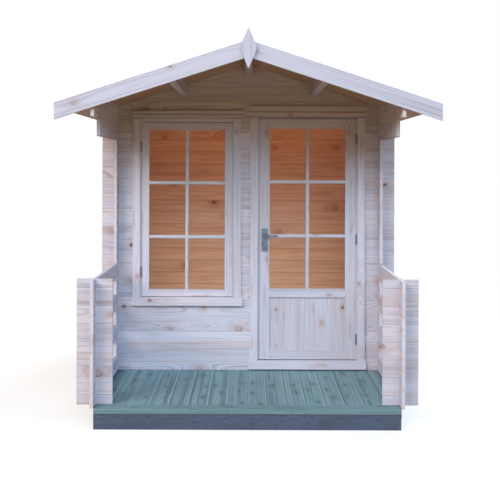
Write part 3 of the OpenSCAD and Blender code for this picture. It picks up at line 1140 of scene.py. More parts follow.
WHITEWASH = Tone.shown(
    pale=(216, 215, 231), blush=(221, 207, 212), streak=(164, 147, 151),
    halo=(194, 164, 158), knot=(120, 86, 80),
)
RIME = Tone.shown(
    pale=(212, 213, 231), blush=(209, 206, 222), streak=(166, 162, 174),
    halo=(190, 168, 168), knot=(122, 96, 92),
)
# Painted shade: the whitewash made darker and warmer, for the gables and purlins that lie in the shade under
# the roof.
ROOF_SHADE_TONE = Tone.shown(
    pale=(210, 204, 211), blush=(212, 198, 199), streak=(164, 152, 154),
    halo=(192, 162, 152), knot=(122, 90, 80),
)
PINE = Tone.shown(
    pale=(212, 157, 114), blush=(202, 136, 88), streak=(172, 104, 60),
    halo=(158, 88, 46), knot=(92, 46, 26),
)
BARE = Tone.shown(
    pale=(186, 150, 118), blush=(178, 138, 104), streak=(146, 114, 88),
    halo=(138, 104, 78), knot=(92, 58, 40),
)
TEAL = Tone.shown(
    pale=(132, 166, 176), blush=(118, 156, 162), streak=(72, 102, 112),
    halo=(80, 106, 112), knot=(40, 58, 64),
)
SLATE = Tone.shown(
    pale=(86, 97, 120), blush=(78, 87, 107), streak=(54, 62, 82),
    halo=(72, 78, 98), knot=(52, 56, 70),
)
DEAD_WOOD = srgb(62, 48, 46)
# Tint that paints the warm shade under the porch roof.
EAVES_SHADE_TINT = (0.96, 0.91, 0.78)

# On the logs, edge paints a highlight along each log's upper edge and shade along its lower edge, and eaves
# paints shade under the porch roof.
LOG_WOOD = Timber(
    "whitewashed_log", WHITEWASH, indoors=PINE, depth=0.68,
    knot_size=0.034, knot_share=0.38, dead=DEAD_WOOD,
    edge=srgb(232, 231, 243), edge_width=0.007, one_sided=True, eaves=(1.84, 2.0),
)
# The gables take the tone of painted shade instead of the plain whitewash.
GABLE_WOOD = replace(
    LOG_WOOD, name="sheltered_log", tone=ROOF_SHADE_TONE, depth=0.6,
    knot_size=0.030, knot_share=0.62, hearts=0.6, dead=None, eaves=None,
)
# eaves paints shade at the top of the casings under the porch roof.
TRIM_WOOD = Timber(
    "whitewashed_board", WHITEWASH, ring=0.009, wander=0.02, depth=0.45,
    knot_every=0.55, knot_size=0.018, knot_share=0.24, hearts=0.5, dead=DEAD_WOOD,
    smear=0.65, eaves=(2.02, 2.07),
)
LEAF_WOOD = replace(TRIM_WOOD, name="whitewashed_leaf", level=0.94)
BARGE_WOOD = Timber(
    "whitewashed_barge", RIME, ring=0.011, wander=0.006, depth=0.75,
    knot_size=0.018, knot_share=0.6, swirl=0.4, stretch=1.2, level=0.92,
)
FINIAL_WOOD = Timber(
    "whitewashed_finial", RIME, ring=0.008, wander=0.012, depth=0.7, knot_share=0.05, level=0.86
)
ROOF_WOOD = Timber("bare_board", BARE, indoors=PINE, depth=0.5, knot_size=0.016)
PURLIN_WOOD = replace(ROOF_WOOD, name="washed_purlin", tone=ROOF_SHADE_TONE, level=0.8)
# On the deck, edge paints a highlight along one long edge of each board and shade along the other.
DECK_WOOD = Timber(
    "stained_deck", TEAL, indoors=PINE, ring=0.010, wander=0.004, depth=0.9,
    knot_every=0.34, knot_size=0.015, knot_share=0.9, knot_long=3.2, swirl=0.2, hearts=1.0,
    stretch=0.45, fuzz=0.25, smear=0.15, edge=srgb(182, 210, 213), edge_width=0.0095, one_sided=True,
)
NOSING_WOOD = Timber(
    "stained_nosing", TEAL, ring=0.008, wander=0.006, depth=0.8,
    knot_every=0.3, knot_size=0.016, knot_share=0.7, hearts=0.9, fuzz=0.35, level=0.82,
)
BEARER_WOOD = Timber(
    "treated_bearer", SLATE, ring=0.012, wander=0.006, depth=0.9, knot_size=0.010, fuzz=0.8, level=0.9
)
PEWTER = Metal("pewter", srgb(128, 142, 158), srgb(100, 112, 128), 0.42, 0.85)
IRON = Metal("dark_iron", srgb(136, 138, 148), srgb(108, 108, 116), 0.5, 0.3)
WASHED = Metal("washed_nail", srgb(192, 192, 208), srgb(174, 174, 188), 0.6, 0.1)
ZINC = Metal("zinc", srgb(150, 152, 160), srgb(118, 118, 124), 0.45, 0.9)
FELT = Felt("mineral_felt", srgb(46, 52, 54), srgb(112, 120, 120))
PANE = Glass("clear_glass", (0.98, 0.99, 0.985))


@dataclass(frozen=True)
class LogWalls:
    """Log walls, gables and porch corners.

    Attributes:
        course: height that one log covers.
        floor: height of the floor, where the side walls start.
    """

    course: float
    floor: float

    def dress(self, shop: Workshop, room: Room) -> None:
        """Gives the logs their finish, with the grain along each log.

        Args:
            shop: the workshop, which puts pieces into the scene.
            room: the room inside the walls.
        """
        half_course = self.floor - self.course / 2
        side = StackLay(Axis.Y, Axis.Z, self.course, self.floor, room.half, mirrored=True)
        for name, middle in (("front", room.front), ("back", room.back)):
            lay = StackLay(Axis.X, Axis.Z, self.course, half_course, middle)
            shop.finish(f"{name}_wall", LOG_WOOD.dress(name, lay, self.course, room))
            shop.finish(f"{name}_gable", GABLE_WOOD.dress(name, lay, self.course, room))
        sides = LOG_WOOD.dress("sides", side, self.course, room)
        corner = StackLay(Axis.X, Axis.Z, self.course, half_course, halfway("left_stub", Axis.Y))
        stubs = LOG_WOOD.dress("corners", corner, self.course, room)
        for end in Side:
            shop.finish(f"{end.word}_wall", sides)
            shop.finish(f"{end.word}_stub", stubs)


@dataclass(frozen=True)
class Floor:
    """Bearers, joists, deck boards and the cross board along the front.

    Attributes:
        board: width of a board with its gap.
        gap: gap between two boards.
        edge: radius of a board's upper edges.
        nosing_edge: radius of the cross board's upper edges.
        chamfer: size of the lower chamfers.
        sag: largest depth of a board under its neighbours.
        screw_inset: distance of the screws from a board's edge.
        joists: number of joists under the boards.
    """

    board: float = 0.126
    gap: float = 0.0008
    edge: float = 0.004
    nosing_edge: float = 0.005
    chamfer: float = 0.001
    sag: float = 0.0006
    screw_inset: float = 0.022
    joists: int = 6

    def lines(self) -> np.ndarray:
        """Lays the boards out from the middle, cut to fit at both sides.

        Returns:
            The edges of the boards in X, from left to right.
        """
        low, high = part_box("deck_boards")
        first, last = math.ceil(low.x / self.board), math.floor(high.x / self.board)
        return np.concatenate([[low.x], np.arange(first, last + 1) * self.board, [high.x]])

    def build(self, shop: Workshop, room: Room, seed: int = 11) -> None:
        """Builds the boards and gives the timbers their finish.

        Args:
            shop: the workshop, which puts pieces into the scene.
            room: the room inside the walls.
            seed: seed of the boards' heights.
        """
        low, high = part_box("deck_boards")
        edges = self.lines()
        widths = np.diff(edges).round(6) - self.gap
        x = (edges[:-1] + edges[1:]) / 2
        dips = np.random.default_rng(seed).uniform(0.0, self.sag, (2, len(x)))
        thick = high.z - low.z - dips.max()
        spans = ((low.y, room.front), (room.front + self.gap, high.y))
        rows = []
        for dip, (front, back) in zip(dips, spans):
            run = np.array([0.0, back - front, 0.0])
            for width in np.unique(widths):
                section = rounded_board(width, thick, self.edge, self.chamfer)
                starts = points(x, front, high.z - dip)[widths == width]
                rows.append(carried(section, starts, starts + run, (-1, 0, 0), (0, 0, 1)))
        lay = StackLay(Axis.Y, Axis.X, self.board, 0.0, low.z)
        stained = DECK_WOOD.dress("boards", lay, self.board, room)
        shop.piece("deck_planks", Solid.joined(rows), CABIN, stained, ["deck_boards"])
        self.build_nosing(shop, room)
        self.dress_bearers(shop, room)

    def build_nosing(self, shop: Workshop, room: Room) -> None:
        """Builds the cross board along the front of the deck, with eased edges.

        Args:
            shop: the workshop, which puts pieces into the scene.
            room: the room inside the walls.
        """
        low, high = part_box("deck_nosing")
        width = high.y - low.y
        section = rounded_board(width, high.z - low.z, self.nosing_edge, self.chamfer, 4)
        middle = halfway("deck_nosing", Axis.Y)
        start, end = points(low.x, middle, high.z), points(high.x, middle, high.z)
        lay = StackLay(Axis.X, Axis.Y, width, low.y, low.z)
        board = carried(section, start, end, (0, 1, 0), (0, 0, 1))
        stained = NOSING_WOOD.dress("nosing", lay, width, room)
        shop.piece("deck_front_board", board, CABIN, stained, ["deck_nosing"])

    def dress_bearers(self, shop: Workshop, room: Room) -> None:
        """Gives the bearers and joists their finish.

        Args:
            shop: the workshop, which puts pieces into the scene.
            room: the room inside the walls.
        """
        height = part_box("rim_bearers")[1].z * 1.2
        runs = (("rim_bearers", Axis.X), ("floor_joists", Axis.X), ("wall_bearers", Axis.Y))
        for node, run in runs:
            lay = StackLay(run, Axis.Z, height, -0.01)
            shop.finish(node, BEARER_WOOD.dress(node, lay, height, room))


@dataclass(frozen=True)
class Roof:
    """Purlins, roof boards, felt, barge boards and finials.

    Attributes:
        pitch: angle of the roof.
        board: width of a roof board.
        barge: width of a barge board and of a purlin.
        finial: width of a finial.
        gap: gap between two roof boards.
        ease: radius of a roof board's upper edges.
        groove: size of the groove that shows between two boards from below.
        lap: length by which an upper strip of felt covers the lower one.
        cap: half the width of the strip over the ridge.
        drip: height of the felt that is turned down at the eaves.
        crease: how far the felt's bend there goes out and down.
        ripple: height of the waves in a strip.
        cap_ripple: height of the waves in the strip over the ridge.
        bend: radius of the ridge cap's bend.
        cap_thick: thickness of the ridge cap, and its height over the boards.
        stations: number of points along a strip of felt.
    """

    pitch: float = math.radians(18.0)
    board: float = 0.0885
    barge: float = 0.1
    finial: float = 0.16
    gap: float = 0.0004
    ease: float = 0.0008
    groove: float = 0.0025
    lap: float = 0.08
    cap: float = 0.17
    drip: float = 0.016
    crease: tuple[float, float] = (0.001, 0.002)
    ripple: float = 0.0006
    cap_ripple: float = 0.0005
    bend: float = 0.006
    cap_thick: float = 0.003
    stations: int = 160

    def build(self, shop: Workshop, room: Room) -> None:
        """Builds the boards and the felt, and gives the other timbers their finish.

        Args:
            shop: the workshop, which puts pieces into the scene.
            room: the room inside the walls.
        """
        low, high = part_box("right_roof_boards")
        rise = (high.x - low.x) * math.tan(self.pitch)
        thick = high.z - low.z - rise
        ridge = high.z - thick
        lay = SlopeLay(self.pitch, ridge, self.board)
        bare = ROOF_WOOD.dress("roof", lay, self.board, room)
        for side in Side:
            self.build_boards(shop, side, ridge, thick, bare)
            self.build_felt(shop, side, ridge + thick)
        self.build_cap(shop, ridge + thick)
        self.dress_timbers(shop, room, ridge)

    def dress_timbers(self, shop: Workshop, room: Room, ridge: float) -> None:
        """Gives the barge boards, finials and purlins their finish.

        Args:
            shop: the workshop, which puts pieces into the scene.
            room: the room inside the walls.
            ridge: height of the line in which the two slopes meet.
        """
        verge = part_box("rear_right_barge")[1].y
        edge = SlopeLay(self.pitch, ridge, middle=verge)
        painted = BARGE_WOOD.dress("barge", edge, self.barge, room)
        upright = StackLay(Axis.Z, Axis.X, self.finial, -self.finial / 2, verge, mirrored=True)
        diamond = FINIAL_WOOD.dress("finial", upright, self.finial, room)
        for end in ("front", "rear"):
            shop.finish(f"{end}_finial", diamond)
            for side in Side:
                shop.finish(f"{end}_{side.word}_barge", painted)
        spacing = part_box("side_purlins")[1].x
        rows = StackLay(Axis.Y, Axis.X, spacing, -1.5 * spacing, ridge)
        washed = PURLIN_WOOD.dress("purlins", rows, self.barge, room)
        for node in ("ridge_purlin", "side_purlins"):
            shop.finish(node, washed)

    def build_boards(
        self, shop: Workshop, side: Side, ridge: float, thick: float, material: bpy.types.Material
    ) -> None:
        """Builds the boards of one slope, from the ridge to the eaves with plumb ends.

        Args:
            shop: the workshop, which puts pieces into the scene.
            side: the slope.
            ridge: height of the line in which the two slopes meet.
            thick: thickness of a board, measured upright.
            material: its finish.
        """
        node = f"{side.word}_roof_boards"
        low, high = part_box(node)
        reach = high.x - low.x
        count = math.ceil((high.y - low.y) / self.board)
        pitch = (high.y - low.y) / count
        y = low.y + pitch * (np.arange(count) + 0.5)
        starts = points(0.0, y, ridge + thick)
        ends = starts + [side.value * reach, 0.0, -reach * math.tan(self.pitch)]
        section = rounded_board(pitch - self.gap, thick, self.ease, self.groove, 1)
        boards = carried(section, starts, ends, (0, 1, 0), (0, 0, 1))
        shop.piece(f"{side.word}_roof_planks", boards, CABIN, material, [node])

    def slope_path(
        self, side: Side, top: float, inner: float, outer: float, lifts: tuple[float, float]
    ) -> np.ndarray:
        """Returns points down one slope.

        Args:
            side: the slope.
            top: height of the slope's surface at the ridge.
            inner: distance of the path's upper end from the ridge.
            outer: distance of the path's lower end from the ridge.
            lifts: height of the path over the surface at both ends.

        Returns:
            Points (x, z) from the upper end to the lower one.
        """
        out = np.linspace(inner, outer, 24)
        bends = [inner, outer - self.lap * 1.4, outer]
        lift = np.interp(out, bends, [lifts[0], lifts[0], lifts[1]])
        return np.stack([side.value * out, top - out * math.tan(self.pitch) + lift], axis=1)

    def build_felt(self, shop: Workshop, side: Side, top: float) -> None:
        """Builds two strips of felt on one slope: the upper one laps over the lower, which turns down.

        Args:
            shop: the workshop, which puts pieces into the scene.
            side: the slope.
            top: height of the boards' upper face at the ridge.
        """
        node = f"{side.word}_roof_felt"
        low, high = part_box(node)
        reach = high.x - low.x
        thick = (high.z - low.z - reach * math.tan(self.pitch)) * math.cos(self.pitch)
        stations = np.linspace(low.y, high.y, self.stations)
        middle = reach * 0.5
        lower = self.slope_path(side, top, middle - self.lap, reach, (0.0, 0.0002))
        out, down = side.value * self.crease[0], self.crease[1]
        fold = np.array([[out, -down], [out, -self.drip]])
        lower = np.concatenate([lower, lower[-1] + fold])
        upper = self.slope_path(side, top, 0.0, middle, (0.0004, thick * 1.15))
        if side is Side.LEFT:
            lower, upper = lower[::-1], upper[::-1]
        material = FELT.dress()
        for part, path, nodes in (("lower", lower, [node]), ("upper", upper, [])):
            solid = draped(path, stations, self.ripple)
            name = f"{side.word}_{part}_felt"
            shop.piece(name, solid, CABIN, material, nodes, BLEND_ANGLE, thick)

    def build_cap(self, shop: Workshop, top: float) -> None:
        """Builds the strip of felt that is bent over the ridge.

        Args:
            shop: the workshop, which puts pieces into the scene.
            top: height of the boards' upper face at the ridge.
        """
        low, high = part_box("right_roof_felt")
        stations = np.linspace(low.y, high.y, self.stations)
        out = np.linspace(-self.cap, self.cap, 25)
        fall = np.sqrt(out * out + self.bend * self.bend) - self.bend
        path = np.stack([out, top + self.cap_thick - fall * math.tan(self.pitch)], axis=1)
        solid = draped(path, stations, self.cap_ripple)
        felt = FELT.dress()
        shop.piece("ridge_cap_felt", solid, CABIN, felt, (), BLEND_ANGLE, self.cap_thick)


@dataclass(frozen=True)
class Opening:
    """One opening in the front wall.

    Attributes:
        name: its name.
        leaf: the node that closes it.
        body: the body that carries its glass.
        wood: finish of that leaf.
        cap: height of the cap board over its casing.
        head: height of the casing's head board.
    """

    name: str
    leaf: str
    body: str
    wood: Timber
    cap: float
    head: float


WINDOW = Opening("window", "window_sash", CABIN, TRIM_WOOD, 0.030, 0.028)
DOORWAY = Opening("door", "door_leaf", DOOR, LEAF_WOOD, 0.045, 0.038)


@dataclass(frozen=True)
class Glazing:
    """Glazing bars and beads that hold the panes of one sash or leaf.

    Attributes:
        opening: the opening.
        bar: width of a glazing bar.
        bead: width of the bead round the glass.
        shares: heights of the cross bars, as shares of the glass.
        setback: distance of bars and beads behind the face of the sash.
        step: distance of the cross bars behind the upright one.
        lath: height of the drip lath under the glass.
        blend: angle in degrees below which the faces of a moulding blend.
    """

    opening: Opening
    bar: float = 0.026
    bead: float = 0.0025
    shares: tuple[float, float] = (0.330, 0.6675)
    setback: float = 0.002
    step: float = 0.0004
    lath: float = 0.012
    blend: float = 35.0

    def bar_section(self, depth: float) -> np.ndarray:
        """Draws a bar's section: a flat front between two rounded shoulders, with its back at q 0.

        Args:
            depth: depth of the bar.

        Returns:
            Points (p, q) of the outline.
        """
        angles = np.linspace(0, math.pi / 2, 5)
        nose = self.bar * 0.24
        flat = self.bar / 2 - nose
        right = np.stack([flat + nose * np.cos(angles), depth * (0.45 + 0.55 * np.sin(angles))], axis=1)
        left = np.stack([-right[::-1, 0], right[::-1, 1]], axis=1)
        return np.concatenate([right, left, [[-self.bar / 2, 0.0], [self.bar / 2, 0.0]]])

    def lath_section(self) -> np.ndarray:
        """Returns the drip lath's section: a thin strip with sloping edges."""
        return np.array([[0.0, 0.0], [0.004, 0.0015], [0.004, self.lath - 0.003], [0.0, self.lath]])

    def bead_section(self, depth: float) -> np.ndarray:
        """Draws a bead's section: a quarter-round slope from the frame's edge down to the glass.

        Args:
            depth: depth of the bead.

        Returns:
            Points (p, q) of the outline.
        """
        angles = np.linspace(0, math.pi / 2, 6)
        slope = np.stack([self.bead * np.sin(angles), depth * (0.15 + 0.85 * np.cos(angles))], axis=1)
        return np.concatenate([[[-0.0002, 0.0]], [[-0.0002, depth]], slope[1:], [[self.bead, 0.0]]])

    def build(self, shop: Workshop, room: Room) -> None:
        """Builds the bars and the beads on both faces of the glass.

        Args:
            shop: the workshop, which puts pieces into the scene.
            room: the room inside the walls.
        """
        name = self.opening.name
        low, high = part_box(f"{name}_glass")
        inset = Vector((GLASS_GRIP, 0.0, GLASS_GRIP))
        low, high = low + inset, high - inset
        centre = (low.x + high.x) / 2
        heights = [low.z + share * (high.z - low.z) for share in self.shares]
        parts = []
        for face in Face:
            plane, front = face.plane(low, high), face.plane(*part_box(self.opening.leaf))
            depth = abs(front - plane) - self.setback
            out = (0, face.value, 0)
            parts.append(framed(self.bead_section(depth), low, high, plane, face))
            foot, head = points(centre, plane, low.z), points(centre, plane, high.z)
            parts.append(carried(self.bar_section(depth), foot, head, (1, 0, 0), out))
            starts = np.array([[x, plane, z] for z in heights for x in (low.x, centre)])
            ends = starts + [high.x - centre, 0.0, 0.0]
            parts.append(carried(self.bar_section(depth - self.step), starts, ends, (0, 0, 1), out))
            left, right = (points(x, front, low.z - self.lath) for x in (low.x, high.x))
            parts.append(carried(self.lath_section(), left, right, out, (0, 0, 1)))
        lay = JoineryLay(centre, self.bar / 2 + 0.0001, -1.0, 9.0, low.y, central=True)
        painted = self.opening.wood.dress(f"{name}_bars", lay, 0.05, room)
        bars, body = Solid.joined(parts), self.opening.body
        shop.piece(f"{name}_bars", bars, body, painted, (), self.blend)
        shop.finish(f"{name}_glass", PANE.dress())


@dataclass(frozen=True)
class Joinery:
    """Frames, casings, the sash and the door leaf with its boarded panel.

    Attributes:
        panel_boards: number of upright boards in the door's panel.
        groove: size of the groove between two of them.
        gap: half the gap between two of them.
        reveal: height of the frame's joints past the ends of its leaf.
        trim: width of a frame's or a casing's board.
        stile: width of a leaf's or a sash's upright.
    """

    panel_boards: int = 5
    groove: float = 0.0015
    gap: float = 0.00015
    reveal: float = 0.006
    trim: float = 0.06
    stile: float = 0.07

    def build(self, shop: Workshop, room: Room) -> None:
        """Builds the panel and gives the other pieces their finish.

        Args:
            shop: the workshop, which puts pieces into the scene.
            room: the room inside the walls.
        """
        for opening in (WINDOW, DOORWAY):
            name, leaf = opening.name, opening.leaf
            glass_low, glass_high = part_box(f"{name}_glass")
            leaf_low, leaf_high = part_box(leaf)
            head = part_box(f"{name}_casing")[1].z - opening.cap
            centre, middle = halfway(leaf, Axis.X), halfway(leaf, Axis.Y)
            pane = (glass_high.x - glass_low.x) / 2 - GLASS_GRIP
            half = (leaf_high.x - leaf_low.x) / 2
            foot, top = leaf_low.z - self.reveal, leaf_high.z + self.reveal
            frame_lay = JoineryLay(centre, half, foot, top, middle)
            # The casing gets lines of painted shade under its cap board and under its head board.
            casing_lay = replace(frame_lay, seams=(head, head - opening.head))
            leaf_lay = JoineryLay(centre, pane, -1.0, 9.0, middle)
            for node, lay in ((f"{name}_frame", frame_lay), (f"{name}_casing", casing_lay)):
                shop.finish(node, TRIM_WOOD.dress(node, lay, self.trim, room))
            shop.finish(leaf, opening.wood.dress(leaf, leaf_lay, self.stile, room))
        self.build_panel(shop, room)

    def build_panel(self, shop: Workshop, room: Room) -> None:
        """Builds the upright boards of the door's panel, with small grooves between them on both faces.

        Args:
            shop: the workshop, which puts pieces into the scene.
            room: the room inside the walls.
        """
        low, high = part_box("door_panel")
        pitch = (high.x - low.x) / self.panel_boards
        thick = high.y - low.y
        half = pitch / 2 - self.gap
        cut = self.groove
        section = np.array([
            [half - cut, 0.0], [half, -cut], [half, cut - thick], [half - cut, -thick],
            [cut - half, -thick], [-half, cut - thick], [-half, -cut], [cut - half, 0.0],
        ])
        x = low.x + pitch * (np.arange(self.panel_boards) + 0.5)
        starts, ends = points(x, low.y, low.z), points(x, low.y, high.z)
        boards = carried(section, starts, ends, (1, 0, 0), (0, -1, 0))
        lay = StackLay(Axis.Z, Axis.X, pitch, low.x, low.y)
        painted = LEAF_WOOD.dress("door_panel", lay, pitch, room)
        shop.piece("door_panel_boards", boards, DOOR, painted, ["door_panel"])


@dataclass(frozen=True)
class Seals:
    """Pale strips on the frames, in the gaps beside the sash and the door leaf.

    Attributes:
        leaf: the node of the sash or leaf.
        gap: gap beside it.
        hinged: the side of its hinges.
        hinge: distance of the outer hinges from its ends.
        middle: whether a third hinge sits halfway.
        clearance: gap that stays open.
        setback: distance of a strip behind the face.
        depth: depth of a strip.
        ease: chamfer of its free edge.
        break_length: length that each hinge takes out of the strips.
        board: width of the board that a strip is cut from.
    """

    leaf: str
    gap: float
    hinged: Side
    hinge: float
    middle: bool
    clearance: float
    setback: float = 0.0008
    depth: float = 0.02
    ease: float = 0.0006
    break_length: float = 0.085
    board: float = 0.06

    def build(self, shop: Workshop, room: Room) -> None:
        """Builds the upright strips: whole on the free side, and with a break at each hinge.

        Args:
            shop: the workshop, which puts pieces into the scene.
            room: the room inside the walls.
        """
        low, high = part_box(self.leaf)
        tall = high.z - low.z
        stops = [self.hinge, tall - self.hinge]
        if self.middle:
            stops.insert(1, tall / 2)
        width = self.gap - self.clearance
        section = np.array([
            [0.0, 0.0], [width, 0.0], [width, self.depth - self.ease], [width - self.ease, self.depth],
            [0.0, self.depth],
        ])
        back = low.y + self.setback + self.depth
        parts = []
        for side, edge in ((Side.LEFT, low.x - self.gap), (Side.RIGHT, high.x + self.gap)):
            breaks = stops if side is self.hinged else []
            below = [0.0] + [stop + self.break_length / 2 for stop in breaks]
            above = [stop - self.break_length / 2 for stop in breaks] + [tall]
            starts = points(edge, back, low.z + np.array(below))
            ends = points(edge, back, low.z + np.array(above))
            parts.append(carried(section, starts, ends, (-side.value, 0, 0), (0, -1, 0)))
        lay = StackLay(Axis.Z, Axis.X, self.board, halfway(self.leaf, Axis.X))
        painted = TRIM_WOOD.dress(f"{self.leaf}_strip", lay, self.board, room)
        shop.piece(f"{self.leaf}_strips", Solid.joined(parts), CABIN, painted)


@dataclass(frozen=True)
class Handle:
    """Door handle: plates and a forged lever on both faces of the leaf.

    Attributes:
        boss: radius of the lever's boss.
        neck: radius of the lever's neck in its plate.
        collar: radius of the collar over the plate.
        sunk: depth of a neck in its plate.
        flare: distance of a neck's end behind the lever's face.
        spindle: radius of the bar between the levers.
        bar_inset: distance of that bar's ends behind the levers' faces.
        shoulder: distance of an arm's shoulder from the boss.
        waist: distance of its waist from the boss.
        heights: half its height at the boss's rim, the boss, the shoulder, the waist and the tip.
        arm: half its thickness.
        middle: distance of its middle behind the lever's face.
        tip: length of its rounded tip.
        least: smallest half width of a section.
    """

    boss: float = 0.010
    neck: float = 0.009
    collar: float = 0.0118
    sunk: float = 0.006
    flare: float = 0.006
    spindle: float = 0.0045
    bar_inset: float = 0.008
    shoulder: float = 0.016
    waist: float = 0.045
    heights: tuple[float, ...] = (0.0094, 0.0098, 0.0072, 0.0060, 0.0078)
    arm: float = 0.0054
    middle: float = 0.0056
    tip: float = 0.008
    least: float = 0.0004

    def build(self, shop: Workshop) -> None:
        """Builds the two levers and gives the plates their finish.

        Args:
            shop: the workshop, which puts pieces into the scene.
        """
        pewter = PEWTER.dress()
        shop.finish("door_handle_plates", pewter)
        low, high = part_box("door_lever")
        x, z = low.x + self.boss, halfway("door_lever", Axis.Z)
        bar = np.array([[self.spindle, 0.0], [self.spindle, high.y - low.y - 2 * self.bar_inset]])
        parts = [turned(bar, points(x, low.y + self.bar_inset, z), (0, 1, 0), 16)]
        for face in Face:
            plate, front = face.plane(*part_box("door_handle_plates")), face.plane(low, high)
            parts.append(self.neck_part(x, z, plate, front, face))
            parts.append(self.arm_part(x, z, high.x - x, front, face))
        lever = Solid.joined(parts)
        shop.piece("forged_lever", lever, HANDLE, pewter, ["door_lever"], BLEND_ANGLE)

    def neck_part(self, x: float, z: float, plate: float, front: float, face: Face) -> Solid:
        """Builds a neck: a stepped collar on the plate, a waist, and a flare into the boss.

        Args:
            x: place of the spindle in X.
            z: height of the spindle.
            plate: place of the plate's face in Y.
            front: place of the lever's face in Y.
            face: the face of the leaf that it stands on.

        Returns:
            The surface.
        """
        reach = abs(front - plate) - self.flare
        profile = np.array([
            [self.neck, -self.sunk], [self.neck, 0.0003], [self.collar, 0.0004], [self.collar, 0.0020],
            [self.collar * 0.92, 0.0032], [self.neck * 0.86, 0.0046], [self.neck * 0.78, reach * 0.45],
            [self.neck * 0.84, reach * 0.72], [self.boss * 0.97, reach],
        ])
        return turned(profile, points(x, plate, z), (0, face.value, 0), 28)

    def arm_part(self, x: float, z: float, length: float, front: float, face: Face) -> Solid:
        """Builds an arm: a round boss, a waist, and a swell towards the rounded tip.

        Formula: half the height runs straight from one of the named places to the next, and is multiplied
        by the root of 1 - u squared at both ends, where u goes from 0 to 1 over the rounded length.

        Args:
            x: place of the spindle in X.
            z: height of the spindle.
            length: length of the arm past the spindle.
            front: place of the lever's face in Y.
            face: the face of the leaf that it stands on.

        Returns:
            The surface.
        """
        share = np.linspace(0, 1, 34)
        along = -self.boss + (length + self.boss) * (1 - np.cos(math.pi * share)) / 2
        body = np.interp(along, [-self.boss, 0.0, self.shoulder, self.waist, length], self.heights)
        start = np.sqrt(np.clip(1 - (np.minimum(along, 0.0) / self.boss) ** 2, 0.0, 1.0))
        over = np.maximum(along - (length - self.tip), 0.0) / self.tip
        end = np.sqrt(np.clip(1 - over * over, 0.0, 1.0))
        heights = np.maximum(body * start * end, self.least)
        depths = np.maximum(self.arm * np.sqrt(start * end), self.least)
        centres = points(x + along, front - face.value * self.middle, z)
        return lofted(centres, depths, heights, (0, 1, 0), (0, 0, 1), 24, 0.75)


